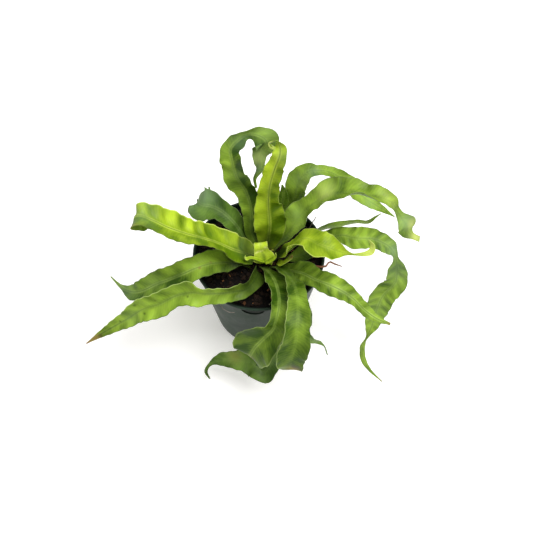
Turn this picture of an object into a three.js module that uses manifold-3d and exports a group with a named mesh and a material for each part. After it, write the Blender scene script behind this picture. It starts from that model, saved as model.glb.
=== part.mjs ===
// A Hurricane bird's nest fern in a round plastic nursery pot: curled and waved strap
// fronds rising from one crown. Millimetres, +Z up, the pot stands on Z = 0 around the Z axis.
import * as THREE from "three";
import { mergeVertices } from "three/addons/utils/BufferGeometryUtils.js";
import Module from "manifold-3d";

const wasm = await Module();
wasm.setup();

// Pot
const POT_HEIGHT = 92;
const LIP_RADIUS = 55;
const LIP_HEIGHT = 2;
const LIP_REACH = 1.2;
const BASE_RADIUS = 40;
const POT_WALL = 1.6;
const FLOOR_THICKNESS = 1.8;
const EDGE_ROUND = 0.6;
const DRAIN_HOLES = 6;
const DRAIN_HOLE_RADIUS = 4;
const DRAIN_CIRCLE_RADIUS = 27;
const POT_SIDES = 54;

// Half-moon recesses under the lip, for lifting the pot
const RECESSES = 4;
const RECESS_RADIUS = 10;
const RECESS_DEPTH = 0.7;
const RECESS_DROP = 0.6;
const RECESS_TURN = -1.66;

// Potting mix and crown
const SOIL_HEIGHT = 86;
const SOIL_RELIEF = 1.1;
const SOIL_RINGS = 8;
const CROWN_CENTRE = new THREE.Vector2(6, -4);
const CROWN_RADIUS = 18;
const CROWN_TOP = 92;
const CROWN_BOTTOM = 73;
const CLEARANCE = 0.35;

// Blades
const STATION_STEP = 4.6;
const FINE_PER_STATION = 4;
const BLADE_THICKNESS = 0.9;
const STALK_THICKNESS = 2.2;
const STALK_SHARE = 0.14;
const KEEL_DEPTH = 0.9;
const ACROSS = [-1, -0.5, 0, 0.5, 1];
const SOCKET_LENGTH = 26;

// Every frond is a list of places along its midrib, from the crown to the tip:
// x, y, z, half the blade's width, and how far it is turned about its midrib in degrees.
// Channel is how far the edges stand above the midrib, as a share of that half width. It
// flattens out towards the tip.
const FRONDS = [
  {
    name: "frond_west_high", leaf: "young", waves: 6, ruffle: 0.5, phase: 0.3, channel: 0.4,
    spine: [
      [1, -4, 78, 2.2, 0], [-1, -4, 90, 4, 0], [-9, -4, 95, 10.5, -10], [-20, -9, 109, 11.5, -20],
      [-33, -10, 121, 13, 0], [-42, -13, 131, 12.5, 5], [-55, -16, 142, 12, -5],
      [-68, -17, 152, 13, -10], [-78, -17, 161, 11.5, -8], [-87, -17, 167, 11, -4],
      [-91, -17, 164, 10.5, 0], [-88, -17, 160, 8, 0], [-85, -17, 154, 4.5, 0],
      [-81, -16, 154, 1.5, 0],
    ],
  },
  {
    name: "frond_west_low", leaf: "mature", waves: 6, ruffle: 1.6, phase: 1.8, channel: 0.35,
    spine: [
      [-6, -9, 78, 2.2, 0], [-8.5, -10.5, 89, 3.5, 0], [-17, -13, 97, 6, 20],
      [-27, -17, 102, 10, 15], [-38, -21, 107, 11, 5], [-49, -26, 109, 9, -5],
      [-59, -30, 107, 10.5, -10], [-70, -32, 102, 9.5, -5], [-82, -34, 97, 10, 0],
      [-94, -36, 90, 8, 0], [-104, -34, 85, 6, 0], [-113, -28, 83, 2, 0], [-122, -20, 86, 0.5, 0],
    ],
  },
  {
    name: "frond_southwest", leaf: "mature", waves: 9, ruffle: 1.3, phase: 1.4, channel: 0.5,
    spine: [
      [-1, -12, 78, 2.2, 0], [-2, -15, 88, 3.5, 0], [-2, -27, 96, 6.5, 15], [-10, -41, 101, 5, 5],
      [-20, -46, 106, 7.5, -20], [-29, -49, 109, 7, -35], [-42, -50, 110, 9.5, -35],
      [-52, -48, 108, 9.5, -5], [-65, -49, 104, 8.5, 0], [-78, -52, 97, 10, -10],
      [-92, -53, 90, 9, -5], [-104, -55, 80, 7, -10], [-117, -58, 71, 5, -5],
      [-129, -61, 63, 3, -5], [-142, -67, 57, 0.5, 5],
    ],
  },
  {
    name: "frond_northwest", leaf: "shaded", waves: 4, ruffle: 1.4, phase: 1.9, channel: 0.3, heading: 150,
    spine: [
      [-6, 2, 78, 2.2, 0], [-9, 4, 89, 2.5, 0], [-14, 10, 104, 4, -10], [-22, 14, 118, 8, -15],
      [-31, 20, 123, 8.5, -25], [-39, 23, 125, 12, -30], [-46, 25, 124, 13.5, -20],
      [-50, 30, 121, 7.5, -10], [-52, 30, 114, 7, -5], [-47, 33, 112, 4, 0], [-41, 43, 113, 2, 0],
      [-42, 51, 114, 1.1, 0],
    ],
  },
  {
    name: "frond_north_loop", leaf: "mature", waves: 8, ruffle: 1.8, phase: 0, channel: 0.25,
    spine: [
      [0.5, 3, 78, 2.1, 0], [-0.5, 6.5, 91, 3, 0], [-6, 12, 104, 5.5, 5], [-6, 20, 120, 7.5, 10],
      [-10, 28, 137, 8.5, 0], [-17, 31, 152, 10, -20], [-20, 34, 167, 9, -25],
      [-21, 38, 177, 7, -20], [-15, 41, 184, 6, -5], [-8, 43, 188, 4, -5], [0, 42, 188, 7.5, -10],
      [6, 41, 183, 10, -15], [3, 41, 174, 7, -5], [1, 41, 163, 4.5, 0], [1, 39, 152, 2, -5],
      [-3, 36, 144, 1.5, 0], [-2, 33, 136, 1, 0],
    ],
  },
  {
    name: "frond_centre_tall", leaf: "young", waves: 7, ruffle: 2.2, phase: 2.2, channel: 0.2,
    spine: [
      [6, 1, 78, 2.2, 0], [6, 3, 91, 5, 0], [8, 8, 103, 10, 5], [9, 10, 119, 13, 20],
      [8, 14, 135, 11.5, 15], [8, 15, 150, 8.5, 0], [10, 17, 166, 8, -10], [13, 18, 180, 7, -15],
      [16, 19, 192, 5.5, -5], [16, 22, 198, 4.5, -15], [14, 24, 201, 3, -55],
      [11, 25, 200, 2.5, -80], [8, 24, 199, 2, -80], [10, 21, 197, 2.5, -80],
      [11, 22, 199, 2.5, -80],
    ],
  },
  {
    name: "frond_northeast_back", leaf: "mature", waves: 8, ruffle: 0.4, phase: -0.2, channel: 0.25,
    spine: [
      [13.5, 5.5, 78, 2.2, 0], [15, 9, 89, 3.5, 5], [25, 24, 97, 7, 15], [26, 32, 108, 9.5, 25],
      [30, 35, 121, 10, 30], [32, 39, 134, 10, 25], [35, 39, 142, 9.5, 15], [40, 40, 148, 7, 10],
      [46, 40, 149, 4.5, 0], [54, 41, 147, 5, -5], [66, 40, 140, 6, 10], [77, 35, 132, 7.5, 20],
      [89, 31, 122, 5.5, 15], [102, 29, 113, 3, 20], [113, 26, 106, 0.5, 20],
    ],
  },
  {
    name: "frond_northeast_high", leaf: "mature", waves: 8, ruffle: 1.1, phase: 0.3, channel: 0.5,
    spine: [
      [10.5, 1, 78, 2.2, 0], [12.5, 2, 91, 3.5, 0], [25, 9, 108, 8.5, 25],
      [34, 15, 124, 10.5, 40], [44, 16, 138, 7.5, 20], [54, 16, 148, 12.5, 5],
      [62, 14, 153, 11.5, -5], [72, 13, 157, 11, -10], [82, 9, 158, 9, -30], [92, 7, 157, 9, -10],
      [101, 6, 153, 5.5, 20], [106, 5, 146, 2.5, 30], [111, 2, 138, 5, 40], [116, 0, 131, 9, 40],
      [118, -2, 125, 5.5, 40], [122, -4, 122, 4.5, 10], [128, -6, 120, 3, 0],
    ],
  },
  {
    name: "frond_east_narrow", leaf: "mature", waves: 4, ruffle: 0.5, phase: -0.2, channel: 0.2,
    spine: [
      [16.5, -0.5, 78, 2.2, 0], [20, 0.5, 89, 3.2, 0], [33, 6, 98, 4, -15], [46, 8, 110, 4, -30],
      [57, 8, 117, 4.5, -35], [68, 7, 122, 5, -30], [78, 7, 125, 3.5, -40],
      [87, 7, 125, 3.5, -40], [93, 11, 126, 2, -40], [98, 14, 127, 0.6, -45],
    ],
  },
  {
    name: "frond_east_arching", leaf: "mature", waves: 9, ruffle: 0.8, phase: 0.4, channel: 0.2,
    spine: [
      [18.5, -6, 78, 2.2, 0], [21.5, -6.5, 89, 3.2, 0], [34, -6, 96, 8.5, 30],
      [51, -2, 108, 8.5, 45], [66, -1, 118, 6.5, 55], [77, -5, 120, 9, 55], [91, -6, 120, 8, 45],
      [104, -10, 115, 6.5, 60], [110, -14, 106, 2, 70], [112, -19, 97, 7.5, 90],
      [112, -25, 85, 9.5, 85], [103, -31, 74, 11, 90], [99, -37, 61, 9.5, 90],
      [96, -45, 49, 6.5, 90], [92, -52, 38, 0.8, 90], [89, -57, 31, 2.5, 75],
      [90, -65, 22, 2.5, 70], [96, -72, 15, 1.5, 60], [107, -80, 8, 0.5, 60],
    ],
  },
  {
    name: "frond_east_young", leaf: "young", waves: 4, ruffle: 1.8, phase: 1.5, channel: 0.25,
    spine: [
      [11.5, -4.5, 78, 2, 0], [13, -5, 91, 2.8, 0], [18, -9, 103, 4, 0], [23, -13, 115, 6, -5],
      [29, -14, 128, 7.5, -10], [38, -18, 138, 8, -15], [46, -25, 141, 11, 0],
      [53, -28, 141, 10.5, -10], [60, -29, 138, 6, 10], [69, -29, 134, 1, 0],
      [79, -28, 132, 1.5, 0], [86, -27, 134, 2.5, 0], [87, -24, 138, 2, 0],
      [84, -22, 142, 0.7, 0],
    ],
  },
  {
    name: "frond_southeast", leaf: "mature", waves: 6, ruffle: 0.3, phase: 1.7, channel: 0.3,
    spine: [
      [15, -12, 78, 2.2, 0], [17, -13.5, 89, 3.2, 0], [25, -20, 95, 6.5, 0],
      [35, -25, 99, 10.5, -5], [45, -34, 104, 9, -10], [55, -39, 105, 9, 5], [66, -44, 103, 8, 5],
      [75, -49, 99, 6, -5], [84, -55, 92, 5.5, -5], [94, -60, 87, 3, 0], [105, -62, 82, 1.1, 0],
    ],
  },
  {
    name: "frond_south_left", leaf: "mature", waves: 6, ruffle: 1.4, phase: -1.1, channel: 0.35,
    spine: [
      [2.5, -8.5, 78, 2.2, 0], [2, -12, 88, 2.4, 0], [7, -20, 94, 4, 0], [13, -33, 100, 8.5, 5],
      [16, -51, 104, 6.5, 0], [15, -64, 105, 7, -10], [13, -71, 102, 7.5, -20],
      [11, -74, 96, 9.5, -5], [4, -78, 88, 14.5, 20], [-3, -81, 78, 17.5, 25],
      [-7, -83, 67, 13, 25], [-6, -78, 60, 7, 25], [-2, -75, 54, 2.5, 10], [2, -73, 52, 0.9, 5],
    ],
  },
  {
    name: "frond_south_right", leaf: "mature", waves: 6, ruffle: 1.7, phase: 1, channel: 0.25,
    spine: [
      [8.5, -10, 78, 2.2, 0], [11, -14.5, 91, 2.6, 0], [17, -21, 100, 4, -5],
      [26, -38, 109, 6.5, -10], [30, -55, 114, 7.5, 5], [30, -71, 116, 9, 0],
      [29, -83, 112, 10, -5], [28, -90, 104, 11, 0], [25, -96, 93, 12, 5], [23, -98, 81, 11, 5],
      [23, -95, 71, 9, 0], [25, -89, 64, 5, 0], [27, -81, 60, 0.8, 0],
    ],
  },
  {
    name: "frond_southeast_under", leaf: "shaded", waves: 4, ruffle: 0.7, phase: 0.3, channel: 0.25,
    spine: [
      [12.5, -16.5, 78, 2, 0], [15.5, -20, 89, 2.8, 0], [24, -30, 92, 4, 0], [32, -45, 96, 5, 0],
      [35, -56, 95, 6, 0], [36, -63, 90, 6, 0], [36, -68, 82, 4, 0], [42, -70, 70, 3, -5],
      [48, -68, 62, 2.5, -5], [54, -68, 54, 0.5, 0], [57, -72, 46, 0.5, 0],
    ],
  },
  {
    name: "frond_south_tail", leaf: "shaded", waves: 6, ruffle: 1, phase: 0.7, channel: 0.1,
    spine: [
      [7, -16.5, 78, 2, 0], [7.5, -19.5, 88, 2.6, 0], [12, -31, 91, 4, 0], [21, -44, 96, 5, 0],
      [25, -55, 97, 6, -5], [26, -66, 91, 6.5, 0], [22, -74, 81, 8.5, 15], [13, -77, 68, 11, 45],
      [10, -82, 52, 8, 50], [3, -87, 43, 10, 65], [-5, -76, 39, 12.5, 90],
      [-18, -71, 33, 9.5, 80], [-32, -68, 28, 6.5, 70], [-42, -70, 23, 2, 60],
      [-46, -74, 17, 1.5, 60], [-43, -78, 10, 0.7, 60],
    ],
  },
  {
    name: "frond_heart_curl", leaf: "young", waves: 2, ruffle: 1, phase: 0.5, channel: 0.2, heading: 90,
    spine: [
      [6, -4.5, 78, 1.8, 0], [5.5, -8, 89, 2.6, 0], [5, -13, 96, 5, 0], [3, -11, 101, 9.5, 0],
      [2, -8, 106, 6.5, 0], [1, -7, 111, 5, 0], [1, -4, 113, 5, 0], [1, -1, 110, 4.5, 0],
      [1, -1, 107, 3, 0],
    ],
  },
  {
    name: "frond_north_inner", leaf: "mature", waves: 3, ruffle: 1, phase: 0.5, channel: 0.2,
    spine: [
      [7, 9.5, 78, 2, 0], [9, 13, 89, 3.2, 0], [16, 24, 100, 5, 0], [18, 29, 113, 5, 0],
      [20, 32, 124, 4.5, 0], [20, 35, 131, 2.5, 0], [19, 36, 136, 0.8, 0],
    ],
  },
  {
    name: "frond_cut_short", leaf: "young", waves: 1, ruffle: 0.5, phase: 0.5, channel: 0.2,
    spine: [
      [14.5, -7.5, 78, 1.6, 0], [15.5, -9, 91, 2.2, 0], [20, -18, 103, 3, 0],
      [27, -15, 109, 3, 0],
    ],
  },
];

const LEAF_COLOURS = { young: 0x9fc43a, mature: 0x5c9136, shaded: 0x3f7030 };
const POT_COLOUR = 0x46544f;
const SOIL_COLOUR = 0x2b1f18;
const CROWN_COLOUR = 0x4a3b26;

// A smooth value between the spine's places, where place 2.5 is halfway from the third to the fourth.
function between(values, place) {
  const i = Math.min(Math.floor(place), values.length - 2);
  const a = values[Math.max(i - 1, 0)];
  const b = values[i];
  const c = values[i + 1];
  const d = values[Math.min(i + 2, values.length - 1)];
  const t = place - i;
  const t2 = t * t;
  const t3 = t2 * t;
  return (2 * t3 - 3 * t2 + 1) * b + ((t3 - 2 * t2 + t) * (c - a)) / 2
    + (3 * t2 - 2 * t3) * c + ((t3 - t2) * (d - b)) / 2;
}

// Stations along the midrib: the place, the direction along it, the direction across the blade
// and the way its upper face looks, carried along without twisting and then turned.
function stations(frond) {
  const points = frond.spine.map(([x, y, z]) => new THREE.Vector3(x, y, z));
  const curve = new THREE.CatmullRomCurve3(points, false, "centripetal");
  curve.arcLengthDivisions = 600;
  const count = Math.ceil(curve.getLength() / STATION_STEP);
  const last = points[points.length - 1];
  const heading = new THREE.Vector3(last.x - points[0].x, last.y - points[0].y, 0);
  if (frond.heading !== undefined) {
    const angle = THREE.MathUtils.degToRad(frond.heading);
    heading.set(Math.cos(angle), Math.sin(angle), 0);
  }
  let side = new THREE.Vector3(0, 0, 1).cross(heading).normalize();
  const found = [];
  for (let i = 0; i <= count * FINE_PER_STATION; i++) {
    const share = i / (count * FINE_PER_STATION);
    const t = curve.getUtoTmapping(share);
    const along = curve.getTangent(t);
    side = side.clone().addScaledVector(along, -side.dot(along)).normalize();
    if (i % FINE_PER_STATION) continue;
    const place = t * (points.length - 1);
    const turn = THREE.MathUtils.degToRad(between(frond.spine.map((p) => p[4]), place));
    const across = side.clone().applyAxisAngle(along, turn);
    found.push({
      share,
      centre: curve.getPoint(t),
      halfWidth: Math.max(between(frond.spine.map((p) => p[3]), place), 0.5),
      along,
      across,
      up: along.clone().cross(across),
      length: share * count * STATION_STEP,
    });
  }
  return found;
}

// How far the blade's two edges rise and fall at a share of its length: flat at the stalk and the tip.
function wave(frond, share, edge) {
  const grown = THREE.MathUtils.smoothstep(share, 0.1, 0.3) * THREE.MathUtils.smoothstep(1 - share, 0, 0.25);
  const offset = edge < 0 ? 2.3 : 0;
  return grown * frond.ruffle * Math.sin(2 * Math.PI * frond.waves * share + frond.phase + offset);
}

function thicknessAt(share) {
  return THREE.MathUtils.lerp(STALK_THICKNESS, BLADE_THICKNESS, THREE.MathUtils.smoothstep(share, 0, STALK_SHARE));
}

// The closed solid between two sets of rows, the upper face and the lower one, split alike.
function solidBetween(upper, lower) {
  const wide = upper[0].length;
  const rows = upper.length;
  const positions = [...upper.flat(), ...lower.flat()].flatMap((p) => [p.x, p.y, p.z]);
  const at = (row, column, under) => (under ? rows * wide : 0) + row * wide + column;
  const index = [];
  const quad = (a, b, c, d) => index.push(a, b, c, a, c, d);
  for (let r = 0; r < rows - 1; r++) {
    for (let c = 0; c < wide - 1; c++) {
      quad(at(r, c), at(r + 1, c), at(r + 1, c + 1), at(r, c + 1));
      index.push(at(r, c, true), at(r + 1, c + 1, true), at(r + 1, c, true));
      index.push(at(r, c, true), at(r, c + 1, true), at(r + 1, c + 1, true));
    }
    quad(at(r, 0, true), at(r + 1, 0, true), at(r + 1, 0), at(r, 0));
    quad(at(r, wide - 1), at(r + 1, wide - 1), at(r + 1, wide - 1, true), at(r, wide - 1, true));
  }
  for (let c = 0; c < wide - 1; c++) {
    quad(at(0, c), at(0, c + 1), at(0, c + 1, true), at(0, c, true));
    quad(at(rows - 1, c + 1), at(rows - 1, c), at(rows - 1, c, true), at(rows - 1, c + 1, true));
  }
  const geometry = new THREE.BufferGeometry();
  geometry.setAttribute("position", new THREE.Float32BufferAttribute(positions, 3));
  geometry.setIndex(index);
  return geometry;
}

// One frond: a thin blade, channelled along its midrib, with a keel below and waved edges.
// Grown by a clearance and cut short, it is the socket that its stalk stands in.
function frondGeometry(frond, clearance = 0, length = Infinity) {
  const columns = clearance ? [-1, 0, 1] : ACROSS;
  const upper = [];
  const lower = [];
  for (const s of stations(frond)) {
    if (s.length > length) break;
    const half = thicknessAt(s.share) / 2 + clearance;
    const reach = s.halfWidth + clearance;
    const keel = KEEL_DEPTH * Math.min(1, s.halfWidth / 4);
    const centre = s.share ? s.centre : s.centre.clone().addScaledVector(s.along, -clearance);
    const channel = frond.channel * THREE.MathUtils.smoothstep(1 - s.share, 0.05, 0.25);
    const rowUp = [];
    const rowDown = [];
    for (const a of columns) {
      const lift = a * a * (channel * s.halfWidth + wave(frond, s.share, a));
      const mid = centre.clone().addScaledVector(s.across, a * reach).addScaledVector(s.up, lift);
      rowUp.push(mid.clone().addScaledVector(s.up, half));
      rowDown.push(mid.clone().addScaledVector(s.up, -half - (a ? 0 : keel)));
    }
    upper.push(rowUp);
    lower.push(rowDown);
  }
  return solidBetween(upper, lower);
}

// Between geometries and manifold-3d solids, leaving out the triangles without area at a pole
function solid(geometry) {
  const bare = new THREE.BufferGeometry();
  bare.setAttribute("position", geometry.getAttribute("position").clone());
  bare.setIndex(geometry.index.clone());
  const merged = mergeVertices(bare, 1e-4);
  const corners = merged.index.array;
  const kept = [];
  for (let i = 0; i < corners.length; i += 3) {
    const [a, b, c] = [corners[i], corners[i + 1], corners[i + 2]];
    if (a !== b && b !== c && c !== a) kept.push(a, b, c);
  }
  return new wasm.Manifold(new wasm.Mesh({
    numProp: 3,
    vertProperties: new Float32Array(merged.attributes.position.array),
    triVerts: new Uint32Array(kept),
  }));
}

function geometryOf(body) {
  const mesh = body.getMesh();
  const geometry = new THREE.BufferGeometry();
  geometry.setAttribute("position", new THREE.BufferAttribute(mesh.vertProperties, 3));
  geometry.setIndex(new THREE.BufferAttribute(mesh.triVerts, 1));
  return geometry;
}

function lathe(profile, sides = POT_SIDES) {
  return new THREE.LatheGeometry(profile.map(([r, z]) => new THREE.Vector2(r, z)), sides).rotateX(Math.PI / 2);
}

// The pot's outer wall leans out from the base to the underside of the lip.
function wallRadius(z) {
  return BASE_RADIUS + ((LIP_RADIUS - LIP_REACH - BASE_RADIUS) * z) / (POT_HEIGHT - LIP_HEIGHT);
}

function potGeometry() {
  const lipFoot = POT_HEIGHT - LIP_HEIGHT;
  let pot = solid(lathe([
    [0, 0], [BASE_RADIUS - EDGE_ROUND, 0], [wallRadius(EDGE_ROUND), EDGE_ROUND],
    [wallRadius(lipFoot), lipFoot], [LIP_RADIUS, lipFoot + 0.3],
    [LIP_RADIUS, POT_HEIGHT - EDGE_ROUND], [LIP_RADIUS - EDGE_ROUND, POT_HEIGHT],
    [wallRadius(POT_HEIGHT) - POT_WALL + EDGE_ROUND, POT_HEIGHT],
    [wallRadius(POT_HEIGHT) - POT_WALL, POT_HEIGHT - EDGE_ROUND],
    [wallRadius(FLOOR_THICKNESS) - POT_WALL, FLOOR_THICKNESS], [0, FLOOR_THICKNESS],
  ]));
  const recessTop = lipFoot - RECESS_DROP;
  const recessFoot = recessTop - RECESS_RADIUS - 1;
  const shell = solid(lathe([
    [wallRadius(recessFoot) - RECESS_DEPTH, recessFoot], [wallRadius(recessFoot) + 4, recessFoot],
    [wallRadius(recessTop) + 4, recessTop], [wallRadius(recessTop) - RECESS_DEPTH, recessTop],
    [wallRadius(recessFoot) - RECESS_DEPTH, recessFoot],
  ]));
  for (let i = 0; i < RECESSES; i++) {
    const drum = new THREE.CylinderGeometry(RECESS_RADIUS, RECESS_RADIUS, 20, 28)
      .rotateZ(Math.PI / 2)
      .translate(LIP_RADIUS, 0, recessTop)
      .rotateZ(RECESS_TURN + (i * 2 * Math.PI) / RECESSES);
    pot = pot.subtract(shell.intersect(solid(drum)));
  }
  for (let i = 0; i < DRAIN_HOLES; i++) {
    const hole = new THREE.CylinderGeometry(DRAIN_HOLE_RADIUS, DRAIN_HOLE_RADIUS, 10, 20)
      .rotateX(Math.PI / 2)
      .translate(DRAIN_CIRCLE_RADIUS, 0, 0)
      .rotateZ(((i + 0.5) * 2 * Math.PI) / DRAIN_HOLES);
    pot = pot.subtract(solid(hole));
  }
  return geometryOf(pot);
}

// The crown: a low mound that every stalk stands in, each in its own socket.
function crownBody(clearance = 0) {
  const r = CROWN_RADIUS + clearance;
  const shape = lathe([
    [0, CROWN_BOTTOM - clearance], [r * 0.8, CROWN_BOTTOM - clearance], [r, CROWN_BOTTOM + 5],
    [r, SOIL_HEIGHT], [r * 0.9, SOIL_HEIGHT + 2.5 + clearance], [r * 0.65, CROWN_TOP - 1.5 + clearance],
    [r * 0.3, CROWN_TOP - 0.3 + clearance], [0, CROWN_TOP + clearance],
  ], 32);
  return solid(shape.translate(CROWN_CENTRE.x, CROWN_CENTRE.y, 0));
}

function crownGeometry() {
  const sockets = FRONDS.map((frond) => solid(frondGeometry(frond, CLEARANCE, SOCKET_LENGTH)));
  return geometryOf(sockets.reduce((crown, socket) => crown.subtract(socket), crownBody()));
}

// The potting mix fills the pot and its top is uneven.
function mixGeometry() {
  const inside = (z) => wallRadius(z) - POT_WALL - CLEARANCE;
  const foot = FLOOR_THICKNESS + CLEARANCE;
  const profile = [[0, foot], [inside(foot), foot], [inside(SOIL_HEIGHT), SOIL_HEIGHT]];
  for (let i = SOIL_RINGS - 1; i >= 0; i--) profile.push([(inside(SOIL_HEIGHT) * i) / SOIL_RINGS, SOIL_HEIGHT]);
  const shape = lathe(profile, 36);
  const places = shape.getAttribute("position");
  for (let i = 0; i < places.count; i++) {
    if (places.getZ(i) < SOIL_HEIGHT - 0.01) continue;
    const [x, y] = [places.getX(i), places.getY(i)];
    const fall = 1 - THREE.MathUtils.smoothstep(Math.hypot(x, y), 0.8 * inside(SOIL_HEIGHT), inside(SOIL_HEIGHT));
    const rise = Math.sin(x / 5.1 + 1.3) * Math.sin(y / 4.3 + 0.4) + 0.6 * Math.sin((x + y) / 8.7 + 2);
    places.setZ(i, SOIL_HEIGHT + SOIL_RELIEF * fall * rise);
  }
  return geometryOf(solid(shape).subtract(crownBody(CLEARANCE)));
}

const model = new THREE.Group();

function add(name, geometry, colour, roughness = 0.6) {
  const mesh = new THREE.Mesh(geometry, new THREE.MeshStandardMaterial({ color: colour, roughness, metalness: 0 }));
  mesh.name = name;
  model.add(mesh);
}

add("pot", potGeometry(), POT_COLOUR, 0.35);
add("potting_mix", mixGeometry(), SOIL_COLOUR, 0.95);
add("crown", crownGeometry(), CROWN_COLOUR, 0.9);
for (const frond of FRONDS) add(frond.name, frondGeometry(frond), LEAF_COLOURS[frond.leaf]);

export default model;
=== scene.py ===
# %% [markdown]
# # A bird's nest fern in its nursery pot
#
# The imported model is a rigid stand-in for the plant: a pot, its potting mix, a crown and nineteen
# fronds with plain faceted blades. This lesson dresses it. The pot, the mix and the crown keep
# their shapes and get better materials, and each frond is grown again with a fine, pleated blade
# along the same midrib, because a leaf's look comes from its small folds, ribs and thin edges.
# Four spines, those of the heart, the loop, the front right and the high right frond, differ from
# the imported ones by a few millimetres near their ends, after a look at the first pictures.

# %% Loading the frame
import math
import random

import bpy
import numpy as np
from mathutils import Matrix, Vector


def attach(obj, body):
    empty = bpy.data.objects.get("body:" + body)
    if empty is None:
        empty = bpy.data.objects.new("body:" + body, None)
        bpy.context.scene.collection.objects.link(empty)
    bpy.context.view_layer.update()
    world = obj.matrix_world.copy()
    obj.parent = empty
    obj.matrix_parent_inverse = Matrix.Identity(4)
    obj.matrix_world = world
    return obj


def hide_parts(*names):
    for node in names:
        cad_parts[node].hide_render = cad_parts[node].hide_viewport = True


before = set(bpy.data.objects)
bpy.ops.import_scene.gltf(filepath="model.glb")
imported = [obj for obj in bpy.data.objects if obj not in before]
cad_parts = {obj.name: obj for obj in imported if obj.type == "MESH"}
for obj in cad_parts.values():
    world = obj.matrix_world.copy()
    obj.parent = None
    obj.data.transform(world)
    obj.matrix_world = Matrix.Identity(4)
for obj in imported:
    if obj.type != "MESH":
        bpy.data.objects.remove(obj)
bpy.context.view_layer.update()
bpy.ops.object.select_all(action="DESELECT")
MM = 0.001

# %% [markdown]
# ## The camera
#
# The photograph looks steeply down on the plant. The elevation came from how round the pot's rim
# looks. The distance is a moderate guess, since near and far cameras fitted the rim about equally
# well, and the lens follows from it and from how wide the rim appears. A camera needs only a place,
# a turn and a lens, so it is added directly.
# The Standard view transform shows colours as they are, so the white studio floor stays white.

# %% Camera
PHOTO_PIXELS = 533
FOCAL_PIXELS = 730.8
ELEVATION = math.radians(58)
CAMERA_DISTANCE = 600 * MM
TARGET = Vector((6.3, -14.1, 92)) * MM
towards_camera = Vector((0, -math.cos(ELEVATION), math.sin(ELEVATION)))
bpy.ops.object.camera_add(location=TARGET + towards_camera * CAMERA_DISTANCE,
                          rotation=(math.pi / 2 - ELEVATION, 0, 0))
camera = bpy.context.object
camera.data.sensor_width = 36
camera.data.lens = camera.data.sensor_width * FOCAL_PIXELS / PHOTO_PIXELS
camera.data.clip_start = 0.01
bpy.context.scene.camera = camera
bpy.context.scene.view_settings.view_transform = "Standard"
print("lens", round(camera.data.lens, 2), "mm")

# %% [markdown]
# ## The studio light
#
# The light in the photograph is soft, comes mostly from above and a little from the right, and is
# bright enough to turn the floor pure white. One wide area light gives the soft shadows under the
# fronds, and an even white world fills them, as the walls of a light tent would.

# %% Lights
def add_softbox(name, place, size, watts):
    """A square area light at a place in millimetres, aimed at the plant."""
    place = Vector(place) * MM
    aim = (TARGET - place).to_track_quat("-Z", "Y").to_euler()
    bpy.ops.object.light_add(type="AREA", location=place, rotation=aim)
    light = bpy.context.object
    light.name = name
    light.data.size = size * MM
    light.data.energy = watts
    return light


add_softbox("softbox_above", (330, -60, 1000), size=620, watts=10.5)
world = bpy.data.worlds.new("light_tent")
world.use_nodes = True
world.node_tree.nodes["Background"].inputs["Color"].default_value = (1, 0.995, 0.985, 1)
world.node_tree.nodes["Background"].inputs["Strength"].default_value = 0.62
bpy.context.scene.world = world

# %% [markdown]
# ## Colours and nodes
#
# Paint colours are given as sRGB hex values, but shaders calculate with linear light, so
# one function turns the first into the second. A second small function adds a node together with
# its settings and its links, which keeps each material short enough to read in one go.

# %% Helpers for materials
def linear(hex_colour):
    """An sRGB colour such as 8fae3c as the linear RGBA that a socket takes."""
    values = [int(hex_colour[i:i + 2], 16) / 255 for i in (0, 2, 4)]
    return [v / 12.92 if v <= 0.04045 else ((v + 0.055) / 1.055) ** 2.4 for v in values] + [1]


def add_node(tree, kind, inputs=None, out=0, **settings):
    """Adds a node and returns one of its outputs. An input takes a value or another node's output."""
    node = tree.nodes.new("ShaderNode" + kind)
    for key, value in settings.items():
        setattr(node, key, value)
    for key, value in (inputs or {}).items():
        if isinstance(value, bpy.types.NodeSocket):
            tree.links.new(value, node.inputs[key])
        else:
            node.inputs[key].default_value = value
    return node.outputs[out] if node.outputs else None


def bare_material(name):
    """A new material with an empty node tree, and that tree."""
    material = bpy.data.materials.new(name)
    material.use_nodes = True
    material.node_tree.nodes.clear()
    return material, material.node_tree


print("sRGB 8fae3c is linear", [round(v, 3) for v in linear("8fae3c")])

# %% [markdown]
# ## The floor
#
# The plant stands on a white acrylic table that is lit from below a little, as in product
# photography, so the shadows stay faint. A large plane is enough, because nothing but its colour
# and the shadows shows.

# %% Floor
FLOOR_SIZE = 30
bpy.ops.mesh.primitive_plane_add(size=FLOOR_SIZE)
floor = bpy.context.object
floor.name = "floor"
material, tree = bare_material("lit_white_acrylic")
cloud = add_node(tree, "TexNoise", {"Vector": add_node(tree, "TexCoord", out="Object"), "Scale": 3.0})
tone = add_node(tree, "Mix", {0: cloud, 6: linear("f2f1f2"), 7: linear("f7f5f4")}, 2, data_type="RGBA")
shader = add_node(tree, "BsdfPrincipled", {"Base Color": tone, "Roughness": 0.9,
                                           "Emission Color": linear("fffdf8"), "Emission Strength": 0.31})
add_node(tree, "OutputMaterial", {"Surface": shader})
floor.data.materials.append(material)
print("floor", tuple(floor.dimensions))
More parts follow.
